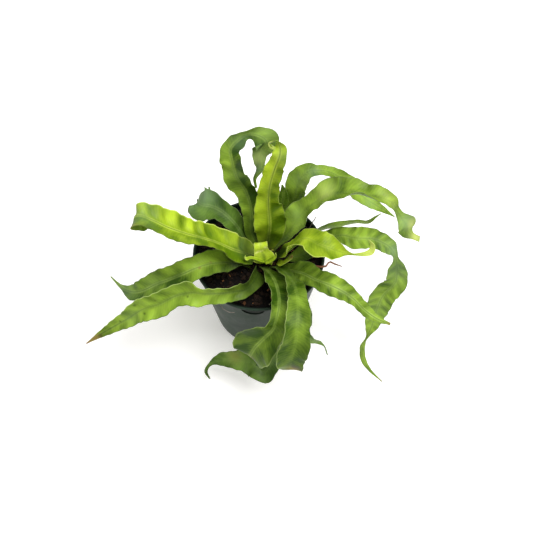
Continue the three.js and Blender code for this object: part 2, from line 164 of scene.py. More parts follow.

# %% [markdown]
# ## The pot, the mix and the crown
#
# These three keep the imported model's shapes.
# The pot is moulded polypropylene: dark grey-green, smooth, with a satin gloss that mirrors the
# white floor softly, and a film of dried dust and splashes from watering. Its index of refraction
# is 1.28 here, below the plastic's own 1.5, because the steep wall mirrors so much of the pale
# floor that it would look light grey. The recesses and the inside get no dust and are painted
# darker, as painted shade. The mix is peat and bark, which is almost black and reflects next to
# nothing. The crown is old frond bases under brown fibrous scales, so its colour runs in short
# upright streaks.

# %% Pot, mix and crown materials
POT_BASE_RADIUS = 40 * MM
WALL_LEAN = 13.8 / 90  # the wall leans out by 13.8 mm up to the lip's foot at 90 mm
THIN_FILM, THICK_FILM = 0.24, 0.44
CLEAN_PAINTED_SHADE_DEPTH = 0.3 * MM


def pot_material():
    """Moulded polypropylene: satin gloss, a dusty film, faint water marks and painted shade inside."""
    material, tree = bare_material("moulded_polypropylene")
    place = add_node(tree, "TexCoord", out="Object")
    dust = add_node(tree, "TexNoise", {"Vector": place, "Scale": 55.0, "Detail": 4.0, "Roughness": 0.65})
    film = add_node(tree, "MapRange", {"Value": dust, 1: 0.35, 2: 0.75, 3: THIN_FILM, 4: THICK_FILM},
                    interpolation_type="SMOOTHSTEP")
    colour = add_node(tree, "Mix", {0: film, 6: linear("0a1812"), 7: linear("48584a")}, 2, data_type="RGBA")
    # What lies deeper than the outer wall, the recesses and the inside, is clean and in shade.
    height = add_node(tree, "SeparateXYZ", {"Vector": place}, "Z")
    flat = add_node(tree, "VectorMath", {0: place, 1: (1, 1, 0)}, operation="MULTIPLY")
    radius = add_node(tree, "VectorMath", {0: flat}, "Value", operation="LENGTH")
    wall = add_node(tree, "Math", {0: height, 1: WALL_LEAN, 2: POT_BASE_RADIUS}, operation="MULTIPLY_ADD")
    depth = add_node(tree, "Math", {0: wall, 1: radius}, operation="SUBTRACT")
    # What lies deeper than the outer wall, the recesses and the inside, is clean, in painted shade.
    deep = add_node(tree, "MapRange", {"Value": depth, 1: CLEAN_PAINTED_SHADE_DEPTH, 2: 2 * CLEAN_PAINTED_SHADE_DEPTH})
    colour = add_node(tree, "Mix", {0: deep, 6: colour, 7: linear("0b150d")}, 2, data_type="RGBA")
    rough = add_node(tree, "MapRange", {"Value": film, 1: THIN_FILM, 2: THICK_FILM, 3: 0.4, 4: 0.55})
    # The moulded surface ripples very slightly, over about 12 mm.
    ripple = add_node(tree, "TexNoise", {"Vector": place, "Scale": 85.0, "Detail": 1.0})
    bump = add_node(tree, "Bump", {"Height": ripple, "Strength": 0.25, "Distance": 0.0008})
    shader = add_node(tree, "BsdfPrincipled", {
        "Base Color": colour, "Roughness": rough, "IOR": 1.28, "Normal": bump, "Coat Weight": 0.03,
        "Coat Roughness": 0.12, "Specular IOR Level": 0.3, "Specular Tint": (0.75, 1, 0.85, 1),
    })
    add_node(tree, "OutputMaterial", {"Surface": shader})
    return material


def crumbly_material(name, dark, light, scale, stretch, depth):
    """A rough natural material with crumbs or fibres: two browns, mixed and raised by noise."""
    material, tree = bare_material(name)
    place = add_node(tree, "TexCoord", out="Object")
    place = add_node(tree, "Mapping", {"Vector": place, "Scale": stretch})
    crumbs = add_node(tree, "TexNoise", {"Vector": place, "Scale": scale, "Detail": 5.0, "Roughness": 0.7})
    share = add_node(tree, "MapRange", {"Value": crumbs, 1: 0.45, 2: 0.8}, interpolation_type="SMOOTHSTEP")
    colour = add_node(tree, "Mix", {0: share, 6: linear(dark), 7: linear(light)}, 2, data_type="RGBA")
    bump = add_node(tree, "Bump", {"Height": crumbs, "Strength": 0.9, "Distance": depth})
    shader = add_node(tree, "BsdfPrincipled", {"Base Color": colour, "Roughness": 0.9, "Normal": bump,
                                               "IOR": 1.4, "Specular IOR Level": 0.25})
    add_node(tree, "OutputMaterial", {"Surface": shader})
    return material


MIX_MATERIAL = crumbly_material("peat_and_bark_mix", "060403", "1d130c", 420.0, (1, 1, 1), 0.0015)
CROWN_MATERIAL = crumbly_material("fibrous_frond_bases", "0d0906", "33220f", 700.0, (1, 1, 0.2), 0.001)
for node, material in (("potting_mix", MIX_MATERIAL), ("crown", CROWN_MATERIAL)):
    for material_slot in bpy.data.objects[node].material_slots:
        material_slot.material = material
    print(node, "wears", material.name)

# %% [markdown]
# ## A smooth wall for the pot
#
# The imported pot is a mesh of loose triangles, so its round wall would show them as upright bands.
# A finer wall could be modelled anew, but the shape is right already. So a copy of the mesh has its
# doubled vertices merged, and its faces are shaded smooth wherever they meet at less than 30
# degrees. The lip, the recesses and the foot keep their sharp edges.

# %% Smooth pot
pot = bpy.data.objects.new("pot_smooth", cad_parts["pot"].data.copy())
bpy.context.collection.objects.link(pot)
bpy.ops.object.select_all(action="DESELECT")
pot.select_set(True)
bpy.context.view_layer.objects.active = pot
loose = len(pot.data.vertices)
bpy.ops.mesh.customdata_custom_splitnormals_clear()
bpy.ops.object.mode_set(mode="EDIT")
bpy.ops.mesh.select_all(action="SELECT")
bpy.ops.mesh.remove_doubles(threshold=0.01 * MM)
bpy.ops.object.mode_set(mode="OBJECT")
bpy.ops.object.shade_smooth_by_angle(angle=math.radians(30))
pot.data.materials.clear()
pot.data.materials.append(pot_material())
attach(pot, "root")
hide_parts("pot")
pot.select_set(False)
print("pot:", loose, "vertices before the merge,", len(pot.data.vertices), "after")

# %% [markdown]
# ## Leaf tissue
#
# A bird's nest fern's blade is smooth, leathery and a little waxy. Light passes into it, so it
# glows yellow-green, and its surface gives broad soft highlights. Its colour isn't even: it is
# paler along the midrib and at parts of the edge, where the tissue is thin, and faint veins run
# out from the midrib and lean towards the tip. The crests between the pleats are painted paler and
# their valleys darker, partly the tissue's own colour and partly painted light and shade.
# The materials read this from attributes that each blade carries: the distance across and along
# the blade in millimetres, the pleats, how clear the midrib and the edge are, and marks for
# lighter, dark, dry and pale places and a bluish sheen. The sheen is a painted reflection, some
# pale marks are painted highlights, and the tones, the dark marks and each blade's dark base are
# partly painted light and shade. So the pattern follows the leaf round every curl, which no flat
# projection could do.
#
# Real veins are about 0.8 mm apart, which is about a pixel of the picture, so they are drawn
# coarser, 2.3 mm apart.

# %% The green of a leaf
LEAF_VALUES = ["across", "across_mm", "along_mm", "crest", "under", "rib", "edge",
               "tone", "dark", "brown", "painted_sheen", "pale"]
VEIN_SPACING = 2.3
VEIN_LEAN = 0.55


def leaf_green(tree, read, distance, patch, mottle, veins, deep, fresh, rib, underside):
    """The green of a point of a leaf: its tone, the pale band and dark groove of the midrib."""
    tone = read["tone"]
    # Crests are painted paler and pleat valleys darker: painted light and shade.
    for pattern, share in ((read["crest"], 0.18), (patch, 0.36), (mottle, 0.3), (veins, 0.03)):
        tone = add_node(tree, "Math", {0: pattern, 1: share, 2: tone}, operation="MULTIPLY_ADD")
    tone.node.use_clamp = True
    green = add_node(tree, "Mix", {0: tone, 6: linear(deep), 7: linear(fresh)}, 2, data_type="RGBA")
    clear = add_node(tree, "Math", {0: patch, 1: 0.55, 2: 0.3}, operation="MULTIPLY_ADD")
    clear = add_node(tree, "Math", {0: clear, 1: read["rib"]}, operation="MULTIPLY")
    band = add_node(tree, "MapRange", {"Value": distance, 1: 0.7, 2: 1.9, 3: clear, 4: 0.0},
                    interpolation_type="SMOOTHSTEP")
    green = add_node(tree, "Mix", {0: band, 6: green, 7: linear(rib)}, 2, data_type="RGBA")
    groove = add_node(tree, "MapRange", {"Value": distance, 1: 0.2, 2: 0.65, 3: clear, 4: 0.0},
                      interpolation_type="SMOOTHSTEP")
    green = add_node(tree, "Mix", {0: groove, 6: green, 7: linear("33500f")}, 2, data_type="RGBA")
    below = add_node(tree, "Math", {0: read["under"], 1: 0.55}, operation="MULTIPLY")
    return add_node(tree, "Mix", {0: below, 6: green, 7: linear(underside)}, 2, data_type="RGBA")


print("veins every", VEIN_SPACING, "mm")

# %% Leaf materials
def leaf_material(name, deep, fresh, rib, edge, underside, roughness):
    """Waxy leaf tissue: low gloss, a little light inside, veins, grooved midrib and thin edge."""
    material, tree = bare_material(name)
    read = {key: add_node(tree, "Attribute", out="Fac", attribute_name=key) for key in LEAF_VALUES}
    distance = add_node(tree, "Math", {0: read["across_mm"]}, operation="ABSOLUTE")
    flow = add_node(tree, "Math", {0: distance, 1: -VEIN_LEAN, 2: read["along_mm"]}, operation="MULTIPLY_ADD")
    place = add_node(tree, "CombineXYZ", {"X": flow, "Y": read["across_mm"]})
    # Patches about 12 mm across vary the green, as the age and thickness of the tissue do.
    patch = add_node(tree, "TexNoise", {"Vector": place, "Scale": 1 / 12, "Detail": 3.0})
    patch = add_node(tree, "MapRange", {"Value": patch, 1: 0.3, 2: 0.7}, interpolation_type="SMOOTHSTEP")
    wander = add_node(tree, "TexNoise", {"Vector": place, "Scale": 1 / 5, "Detail": 1.0})
    # A finer mottle, drawn out along the veins, is what the tissue shows close by.
    fibres = add_node(tree, "Mapping", {"Vector": place, "Scale": (0.9, 0.2, 1)})
    mottle = add_node(tree, "TexNoise", {"Vector": fibres, "Scale": 1.0, "Detail": 3.0, "Roughness": 0.6})
    mottle = add_node(tree, "Math", {0: mottle, 1: -0.34}, operation="ADD")
    turns = add_node(tree, "Math", {0: flow, 1: 2 * math.pi / VEIN_SPACING}, operation="MULTIPLY")
    turns = add_node(tree, "Math", {0: wander, 1: 7.0, 2: turns}, operation="MULTIPLY_ADD")
    veins = add_node(tree, "Math", {0: turns}, operation="SINE")
    colour = leaf_green(tree, read, distance, patch, mottle, veins, deep, fresh, rib, underside)
    # The very edge is thin: light shines through it on some blades, and on others it is dark and dry.
    reach = add_node(tree, "Math", {0: read["across"]}, operation="ABSOLUTE")
    rim = add_node(tree, "MapRange", {"Value": reach, 1: 0.93, 2: 0.98, 3: 0.0, 4: 0.65},
                   interpolation_type="SMOOTHSTEP")
    shine = add_node(tree, "Math", {0: patch, 1: 0.3, 2: read["edge"]},
                     operation="MULTIPLY_ADD", use_clamp=True)
    thin = add_node(tree, "Mix", {0: shine, 6: linear("2c420f"), 7: linear(edge)}, 2, data_type="RGBA")
    colour = add_node(tree, "Mix", {0: rim, 6: colour, 7: thin}, 2, data_type="RGBA")
    # Marks: a blue-green painted sheen, pale new tissue and painted highlights, dark places, partly painted
    # shade, and dry brown ones.
    for key, mark in (("painted_sheen", "7f9b72"), ("pale", "dbe382"), ("dark", "26380c"), ("brown", "86683c")):
        colour = add_node(tree, "Mix", {0: read[key], 6: colour, 7: linear(mark)}, 2, data_type="RGBA")
    rough = add_node(tree, "Math", {0: patch, 1: 0.12, 2: roughness - 0.06}, operation="MULTIPLY_ADD")
    rough = add_node(tree, "Math", {0: read["brown"], 1: 0.3, 2: rough},
                     operation="MULTIPLY_ADD", use_clamp=True)
    # Relief: the veins, and a fine leathery grain about 0.7 mm wide.
    grain_place = add_node(tree, "TexCoord", out="Object")
    grain = add_node(tree, "TexNoise", {"Vector": grain_place, "Scale": 1400.0, "Detail": 2.0})
    relief = add_node(tree, "Math", {0: veins, 1: 0.4, 2: grain}, operation="MULTIPLY_ADD")
    bump = add_node(tree, "Bump", {"Height": relief, "Strength": 0.22, "Distance": 0.00022})
    shader = add_node(tree, "BsdfPrincipled", {
        "Base Color": colour, "Roughness": rough, "Normal": bump, "IOR": 1.45,
        "Subsurface Weight": 0.1, "Subsurface Radius": (0.6, 1.0, 0.2), "Subsurface Scale": 0.001,
        "Coat Weight": 0.02, "Coat Roughness": 0.35, "Specular IOR Level": 0.14,
    })
    add_node(tree, "OutputMaterial", {"Surface": shader})
    return material


LEAVES = {
    "young": leaf_material("young_leaf_tissue", deep="55720a", fresh="b0c82c", rib="b8ca50",
                           edge="cfdc70", underside="88a238", roughness=0.42),
    "mature": leaf_material("mature_leaf_tissue", deep="2f4b08", fresh="94b33a", rib="a2bc5c",
                            edge="b4c876", underside="7d9850", roughness=0.44),
    # The third is a darker copy of the mature tissue for fronds under others: painted shade.
    "shaded": leaf_material("shaded_leaf_tissue", deep="2e4a0e", fresh="739438", rib="90aa60",
                            edge="a2b678", underside="6d8756", roughness=0.48),
}
print("leaf materials:", ", ".join(m.name for m in LEAVES.values()))

# %% [markdown]
# ## How a frond is grown
#
# A frond is a long strap folded a little along its midrib, with pleats that run out to ruffled
# edges. It could be sculpted, or cut from a curve with a profile, but its width and turn change
# all along it. So a grid is added, one row for each millimetre of the midrib and 24 cells across,
# and its points are laid along the midrib. Solidify then gives the blade its thickness: thick at
# the midrib's keel, thin as paper at the edge, which a vertex group tells it.
#
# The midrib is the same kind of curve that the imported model's blades follow, through the same
# places but for the four fronds named at the start, so every fine frond lies where the plain one
# that it stands for does.

# %% The midrib's curve
ROW_STEP = 1.0


def smoothstep(value, low, high):
    """0 below low, 1 above high, and a smooth rise between them."""
    t = np.clip((value - low) / (high - low), 0, 1)
    return t * t * (3 - 2 * t)


def curve_points(knots, t):
    """Points of a centripetal Catmull-Rom curve through the knots, at t from 0 to 1."""
    padded = np.vstack([2 * knots[0] - knots[1], knots, 2 * knots[-1] - knots[-2]])
    place = t * (len(knots) - 1)
    i = np.minimum(place.astype(int), len(knots) - 2)
    w = (place - i)[:, None]
    a, b, c, d = (padded[i + k] for k in range(4))
    ab, bc, cd = (np.sqrt(np.linalg.norm(q - p, axis=1))[:, None] for p, q in ((a, b), (b, c), (c, d)))
    leave = ((b - a) / ab - (c - a) / (ab + bc) + (c - b) / bc) * bc
    arrive = ((c - b) / bc - (d - b) / (bc + cd) + (d - c) / cd) * bc
    return b + w * leave + w**2 * (3 * (c - b) - 2 * leave - arrive) + w**3 * (2 * (b - c) + leave + arrive)


def between(values, place):
    """A smooth value between listed numbers: place 2.5 is halfway from the third to the fourth."""
    values = np.asarray(values, float)
    i = np.minimum(place.astype(int), len(values) - 2)
    a, b = values[np.maximum(i - 1, 0)], values[i]
    c, d = values[i + 1], values[np.minimum(i + 2, len(values) - 1)]
    t = place - i
    return ((2 * t**3 - 3 * t**2 + 1) * b + (t**3 - 2 * t**2 + t) * (c - a) / 2
            + (3 * t**2 - 2 * t**3) * c + (t**3 - t**2) * (d - b) / 2)


def midrib(spine, heading=None):
    """Even stations along the midrib: centre, along, across and up, half width, share and length."""
    knots = np.array([p[:3] for p in spine], float)
    fine_t = np.linspace(0, 1, 601)
    steps = np.linalg.norm(np.diff(curve_points(knots, fine_t), axis=0), axis=1)
    lengths = np.concatenate([[0], np.cumsum(steps)])
    rows = math.ceil(lengths[-1] / ROW_STEP) + 1
    share = np.linspace(0, 1, rows)
    t = np.interp(share * lengths[-1], lengths, fine_t)
    along = curve_points(knots, np.minimum(t + 1e-4, 1)) - curve_points(knots, np.maximum(t - 1e-4, 0))
    along /= np.linalg.norm(along, axis=1)[:, None]
    if heading is None:
        ahead = (knots[-1] - knots[0]) * (1, 1, 0)
    else:
        ahead = np.array([math.cos(math.radians(heading)), math.sin(math.radians(heading)), 0])
    side = np.cross((0, 0, 1), ahead)
    sides = []
    for direction in along:  # the side is carried along the curve without twisting
        side = side - side.dot(direction) * direction
        side = side / np.linalg.norm(side)
        sides.append(side)
    sides = np.array(sides)
    place = t * (len(knots) - 1)
    turn = np.radians(between([p[4] for p in spine], place))[:, None]
    across = sides * np.cos(turn) + np.cross(along, sides) * np.sin(turn)
    half = np.maximum(between([p[3] for p in spine], place), 0.5)
    return curve_points(knots, t), across, np.cross(along, across), half, share, lengths[-1]


centre, across, up, half, share, length = midrib([(0, 0, 0, 2, 0), (0, 5, 50, 8, 0), (0, 40, 90, 1, 0)])
print("a test midrib of", round(length, 1), "mm has", len(share), "rows")

# %% [markdown]
# ## The shape of a blade
#
# Seen across, a blade has a narrow pale midrib with a groove, a shallow channel beside it, pleats
# that grow towards the edge, and an edge that waves up and down. Each of these is one small
# height, added to the next. All heights fade out on the stalk and at the tip, where a real blade
# is plain.

# %% Heights across a blade
PLEAT = 15.0
BLADE_THICKNESS = 0.55
STALK_THICKNESS = 2.1
KEEL_DEPTH = 0.9


def blade_heights(a, share, half, along_mm, waves, ruffle, phase, channel, pleat, spacing, crinkle, rib):
    """Height in mm of each point above the midrib's plane, and how far up its pleat it is, -1 to 1."""
    reach, x = np.abs(a), np.abs(a) * half
    grown = smoothstep(share, 0.1, 0.3) * smoothstep(1 - share, 0, 0.25)
    offset = np.where(a < 0, 2.3, 0.0)
    wave = grown * ruffle * np.sin(2 * np.pi * waves * share + phase + offset)
    flattening = smoothstep(1 - share, 0.05, 0.25)
    height = a**2 * (channel * flattening * half + wave)
    broad = smoothstep(share, 0.1, 0.24) * smoothstep(1 - share, 0, 0.1) * np.minimum(half / 8, 1.2)
    lean = along_mm - VEIN_LEAN * x
    drift = 0.9 * np.sin(along_mm / 16.0 + 3 * phase) + 0.6 * np.sin(along_mm / 7.3 + offset)
    crest = np.sin(2 * np.pi * lean / spacing + drift + 1.9 * offset + phase)
    crest = crest * smoothstep(reach, 0.06, 0.4) * np.minimum(broad, 1)
    depth = np.where(a < 0, pleat[0], pleat[1])
    height = height + depth * crest * (1 - 0.3 * smoothstep(reach, 0.7, 1)) * np.minimum(broad, 1)
    # The crest that colours the blade, painted light and shade, is as strong as the pleat is deep.
    crest = crest * np.minimum(depth / 0.4, 1)
    curl = np.sin(2 * np.pi * along_mm / 5.7 + 1.3 * drift + 2 * offset)
    height = height + crinkle * curl * smoothstep(reach, 0.6, 1) * np.minimum(broad, 1)
    ridge = 0.36 * np.exp(-(x / 1.2)**2) - 0.34 * np.exp(-(x / 0.42)**2)
    return height + rib * ridge * np.minimum(half / 5, 1), crest


print("pleats about every", PLEAT, "mm")

# %% [markdown]
# ## Growing one frond
#
# The grid's own x and y say which point of the blade each vertex is. Columns are closer together
# near the midrib, where the groove is narrow. After Solidify is applied, the first half of the
# vertices is the upper face and the second half the lower one, so the attributes can be written
# to both, and the lower face marked for its paler colour.
#
# The blade's values are worked out first, in functions of their own: where each point lies, and how
# thick the blade is there. Marks are spots and stains, and painted highlights, sheen and shade,
# each given by its place on the blade and its size.

# %% Values for each point of a blade
COLUMNS = 24


def blade_thickness(a, share, half, x):
    """Thickness in mm above and below the midrib's plane: a round stalk, a keel and a thin edge."""
    thin = BLADE_THICKNESS * (1 - 0.4 * np.abs(a)**3)
    full = thin + (STALK_THICKNESS - thin) * (1 - smoothstep(share, 0, 0.14))
    stalk = 1 - smoothstep(share, 0.02, 0.15)
    full = full * (1 - stalk * (1 - np.sqrt(1 - 0.85 * a**2)))
    return full, KEEL_DEPTH * np.minimum(1, half / 4) * np.exp(-(x / 1.1)**2)


def edge_wobble(a, share, half, along_mm, phase):
    """How far in mm the edge runs in and out, because no edge is a clean curve."""
    wobble = 0.3 * np.sin(2 * np.pi * along_mm / 8.3 + 2 * phase + np.sign(a)) * smoothstep(np.abs(a), 0.4, 1)
    return wobble * smoothstep(share, 0.15, 0.3) * smoothstep(1 - share, 0, 0.1) * np.minimum(half / 8, 1)


def add_stains_and_painted_light(kinds, marks, along_mm, x, length, half):
    """Adds each mark to its kind's values: stains and painted light and shade. A mark is (kind, share,
    across, radius in mm, strength).
    """
    for kind, at_share, at_across, radius, strength in marks:
        away = np.hypot(along_mm - at_share * length, x - at_across * half) / radius
        kinds[kind] = np.clip(kinds[kind] + strength * np.exp(-away**2), -1, 1)


print("a blade is", COLUMNS, "cells across")

# %% Frond builder
def grow_frond(name, leaf, waves, ruffle, phase, channel, spine, heading=None, pleat=(0.5, 0.5),
               spacing=PLEAT, crinkle=0.15, tones=(0, 0), base_painted_shade=0.5, rib=0.5,
               edges=(0.1, 0.1), marks=(), cells=COLUMNS):
    """A fine blade that replaces the plain one of its name. Pairs are for its two halves."""
    centre, across, up, half, share, length = midrib(spine, heading)
    bpy.ops.mesh.primitive_grid_add(x_subdivisions=cells, y_subdivisions=len(share) - 1, size=1)
    blade = bpy.context.object
    blade.name = name.replace("frond_", "blade_")
    grid = np.empty(len(blade.data.vertices) * 3)
    blade.data.vertices.foreach_get("co", grid)
    grid = grid.reshape(-1, 3)
    row = np.rint((grid[:, 1] + 0.5) * (len(share) - 1)).astype(int)
    u = -2 * grid[:, 0]
    a = u * (0.45 + 0.55 * np.abs(u))
    s, h = share[row], half[row]
    along_mm, x = s * length, a * h
    height, crest = blade_heights(a, s, h, along_mm, waves, ruffle, phase, channel, pleat, spacing,
                                  crinkle, rib)
    full, keel = blade_thickness(a, s, h, x)
    reach = x + np.sign(a) * edge_wobble(a, s, h, along_mm, phase)
    points = centre[row] + across[row] * reach[:, None] + up[row] * (height + full / 2)[:, None]
    blade.data.vertices.foreach_set("co", (points * MM).ravel())
    blade.data.update()

    thickness = full + keel
    weights = blade.vertex_groups.new(name="thickness")
    for i, weight in enumerate(thickness / thickness.max()):
        weights.add([i], weight, "REPLACE")
    solidify = blade.modifiers.new("blade_thickness", "SOLIDIFY")
    solidify.thickness = thickness.max() * MM
    solidify.offset = -1
    solidify.vertex_group = "thickness"
    bpy.ops.object.modifier_apply(modifier=solidify.name)
    blade.vertex_groups.clear()

    # Each half gets its own tone, which partly paints shade on a half turned from the light.
    tone = np.where(a < 0, tones[0], tones[1]) * smoothstep(np.abs(a), 0.05, 0.25)
    values = {"across": a, "across_mm": x, "along_mm": along_mm, "crest": crest, "tone": tone,
              "rib": np.full(len(a), rib), "edge": np.where(a < 0, edges[0], edges[1]),
              # Painted shade darkens each blade near the crown.
              "dark": base_painted_shade * (1 - smoothstep(s, 0.08, 0.33)),
              **{key: np.zeros(len(a)) for key in ("brown", "painted_sheen", "pale")}}
    add_stains_and_painted_light(values, marks, along_mm, x, length, h)
    for key, value in values.items():
        layer = blade.data.attributes.new(key, "FLOAT", "POINT")
        layer.data.foreach_set("value", np.tile(value, 2))
    under = blade.data.attributes.new("under", "FLOAT", "POINT")
    under.data.foreach_set("value", np.repeat([0.0, 1.0], len(a)))

    bpy.ops.object.shade_smooth_by_angle(angle=math.radians(60))
    blade.data.materials.append(LEAVES[leaf])
    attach(blade, "root")
    if name.startswith("frond_"):
        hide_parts(name)
    blade.select_set(False)
    print(blade.name, round(length), "mm long,", len(blade.data.polygons) * 2, "triangles")
    return blade

# %% [markdown]
# ## The fronds to the west
#
# Each frond is one call. Its spine lists places along the midrib from the crown to the tip, each with
# half the blade's width and its turn, and the rest says how the blade waves and pleats.
# The high frond on this side is young: yellow-green with bright pleats on its upper half, and a
# bluish painted sheen near the crown and at its end. The lowest one is the oldest, with a dry brown
# tip and small dark spots, which marks of a millimetre or less paint on it.

# %% The fronds to the west
grow_frond("frond_west_high", "young", waves=6, ruffle=0.5, phase=0.3, channel=0.4,
           pleat=(0.9, 0.3), crinkle=0.1, tones=(0.12, -0.1), base_painted_shade=0.3, rib=0.8, edges=(0.9, 0),
           spine=[
    (1, -4, 78, 2.2, 0), (-1, -4, 90, 4, 0), (-9, -4, 95, 10.5, -10), (-20, -9, 109, 11.5, -20),
    (-33, -10, 121, 13, 0), (-42, -13, 131, 12.5, 5), (-55, -16, 142, 12, -5),
    (-68, -17, 152, 13, -10), (-78, -17, 161, 11.5, -8), (-87, -17, 167, 11, -4),
    (-91, -17, 164, 10.5, 0), (-88, -17, 160, 8, 0), (-85, -17, 154, 4.5, 0),
    (-81, -16, 154, 1.5, 0),
], marks=[
    ("painted_sheen", 0.86, -0.2, 13, 0.24), ("tone", 0.7, -0.6, 6.5, 0.6),
    ("tone", 0.61, 0.7, 7, 0.25), ("tone", 0.61, -0.7, 5, 0.25),
    ("tone", 0.57, -0.6, 4.5, 0.5), ("tone", 0.63, -0.6, 4, -0.35),
    ("tone", 0.32, -0.6, 7, 0.35), ("tone", 0.45, -0.4, 8, -0.25),
    ("painted_sheen", 0.2, -0.5, 8, 0.25), ("tone", 0.28, 0.2, 8, -0.5),
    ("dark", 0.17, -0.1, 8, 0.5), ("painted_sheen", 0.12, 0.3, 8, 0.2), ("dark", 0.82, 1, 5, 0.5),
    ("brown", 0.88, 1, 3, 0.4),
])

grow_frond("frond_west_low", "mature", waves=6, ruffle=1.6, phase=1.8, channel=0.35,
           pleat=(0.4, 0.3), crinkle=0.2, tones=(0.3, 0.05), base_painted_shade=0.6, rib=0.65, edges=(0.1, 0),
           spine=[
    (-6, -9, 78, 2.2, 0), (-8.5, -10.5, 89, 3.5, 0), (-17, -13, 97, 6, 20),
    (-27, -17, 102, 10, 15), (-38, -21, 107, 11, 5), (-49, -26, 109, 9, -5),
    (-59, -30, 107, 10.5, -10), (-70, -32, 102, 9.5, -5), (-82, -34, 97, 10, 0),
    (-94, -36, 90, 8, 0), (-104, -34, 85, 6, 0), (-113, -28, 83, 2, 0), (-122, -20, 86, 0.5, 0),
], marks=[
    ("painted_sheen", 0.68, -0.4, 9, 0.14), ("painted_sheen", 0.88, -0.3, 13, 0.32),
    ("tone", 0.29, -0.5, 7, 0.5), ("tone", 0.4, -0.4, 8, 0.9), ("brown", 0.4, 0.1, 1, 0.9),
    ("brown", 0.33, -0.1, 0.8, 0.7), ("dark", 0.26, 0.9, 8, 0.4),
    ("tone", 0.55, 0.5, 8, -0.3),
])

grow_frond("frond_southwest", "mature", waves=9, ruffle=1.3, phase=1.4, channel=0.5,
           pleat=(0.4, 0.5), crinkle=0.3, tones=(0.3, 0.3), base_painted_shade=0.95, rib=0.35, edges=(0.9, 0),
           spine=[
    (-1, -12, 78, 2.2, 0), (-2, -15, 88, 3.5, 0), (-2, -27, 96, 6.5, 15), (-10, -41, 101, 5, 5),
    (-20, -46, 106, 7.5, -20), (-29, -49, 109, 7, -35), (-42, -50, 110, 9.5, -35),
    (-52, -48, 108, 9.5, -5), (-65, -49, 104, 8.5, 0), (-78, -52, 97, 10, -10),
    (-92, -53, 90, 9, -5), (-104, -55, 80, 7, -10), (-117, -58, 71, 5, -5),
    (-129, -61, 63, 3, -5), (-142, -67, 57, 0.5, 5),
], marks=[
    ("dark", 0.7, -0.7, 0.9, 0.9), ("dark", 0.68, 0.4, 1, 0.9),
    ("dark", 0.47, 0.3, 0.8, 0.9), ("dark", 0.81, -0.2, 0.9, 0.8),
    ("dark", 0.61, -0.4, 0.7, 0.7), ("dark", 0.23, -0.7, 11, 0.55),
    ("tone", 0.59, 0.7, 6, 0.5), ("tone", 0.42, 0.3, 9, 0.75), ("tone", 0.66, 0.3, 9, 0.5),
    ("tone", 0.78, 0.2, 7, 0.3), ("dark", 0.9, 0.1, 6, 0.3), ("painted_sheen", 0.75, 0, 9, 0.14),
    ("brown", 1, 0, 7, 1), ("brown", 0.95, 0.3, 4, 0.6), ("dark", 0.93, 0.4, 2.5, 0.8),
])

# %% [markdown]
# ## The fronds at the back
#
# The tall fronds at the back show how far a blade can turn: one loops over and hangs down, and the
# bright one in the middle ends in a tight coil. Where a blade turns its back to the light, its half
# is darker, so these fronds get different tones left and right of the midrib, as painted shade.
# Pale marks and a bluish painted sheen lighten the loop's hanging end, as painted light.

# %% The fronds at the back
grow_frond("frond_northwest", "shaded", waves=4, ruffle=1.4, phase=1.9, channel=0.3, heading=150,
           pleat=(0.2, 0.2), crinkle=0.12, tones=(0.05, 0.05), base_painted_shade=0.5, rib=0.5, edges=(0.2, 0.1),
           spine=[
    (-6, 2, 78, 2.2, 0), (-9, 4, 89, 2.5, 0), (-14, 10, 104, 4, -10), (-22, 14, 118, 8, -15),
    (-31, 20, 123, 8.5, -25), (-39, 23, 125, 12, -30), (-46, 25, 124, 13.5, -20),
    (-50, 30, 121, 7.5, -10), (-52, 30, 114, 7, -5), (-47, 33, 112, 4, 0), (-41, 43, 113, 2, 0),
    (-42, 51, 114, 1.1, 0),
], marks=[
    ("painted_sheen", 0.63, -0.6, 8, 0.75), ("painted_sheen", 0.68, 0.7, 6, 0.2),
    ("dark", 0.5, 0.2, 8, 0.25), ("tone", 0.63, 0.4, 3.5, 0.6), ("tone", 0.63, -0.6, 6, 0.4),
    ("dark", 0.34, -0.8, 6, 0.6), ("dark", 0.62, 1, 4, 0.4),
])

grow_frond("frond_north_loop", "mature", waves=8, ruffle=1.8, phase=0, channel=0.25,
           pleat=(0.3, 0.4), crinkle=0.2, tones=(-0.25, 0.2), base_painted_shade=0.55, rib=0.45, edges=(0.1, 0.1),
           spine=[
    (0.5, 3, 78, 2.1, 0), (-0.5, 6.5, 91, 3, 0), (-6, 12, 104, 5.5, 5), (-6, 20, 120, 7.5, 10),
    (-10, 28, 137, 8.5, 0), (-17, 31, 152, 10, -20), (-20, 34, 167, 9, -25),
    (-21, 38, 177, 7, -20), (-15, 41, 184, 6, -5), (-8, 43, 188, 4, -5), (0, 42, 188, 7.5, -10),
    (6, 41, 183, 10, -15), (3, 41, 174, 8, -5), (1, 41, 163, 5.4, 0), (1, 39, 152, 3, -5),
    (-3, 36, 144, 1.5, 0), (-2, 33, 136, 1, 0),
], marks=[
    ("painted_sheen", 0.62, -0.1, 9, 0.25), ("painted_sheen", 0.72, 0.5, 8, 0.25),
    ("painted_sheen", 0.84, 0.2, 9, 0.6), ("pale", 0.84, 0.1, 8, 0.35), ("tone", 0.83, 0.1, 8, 0.4),
    ("painted_sheen", 0.91, -0.5, 5, 0.42), ("tone", 0.44, -0.4, 8, 0.3),
    ("painted_sheen", 0.44, -0.4, 7, 0.2), ("dark", 0.28, 0.1, 7, 0.22),
    ("dark", 0.36, -0.5, 8, 0.4), ("dark", 0.78, 0.5, 5, 0.4), ("tone", 0.7, 0.3, 9, 0.3),
    ("tone", 0.5, 0.5, 7, 0.4), ("tone", 0.27, 0.5, 6, 0.35),
])

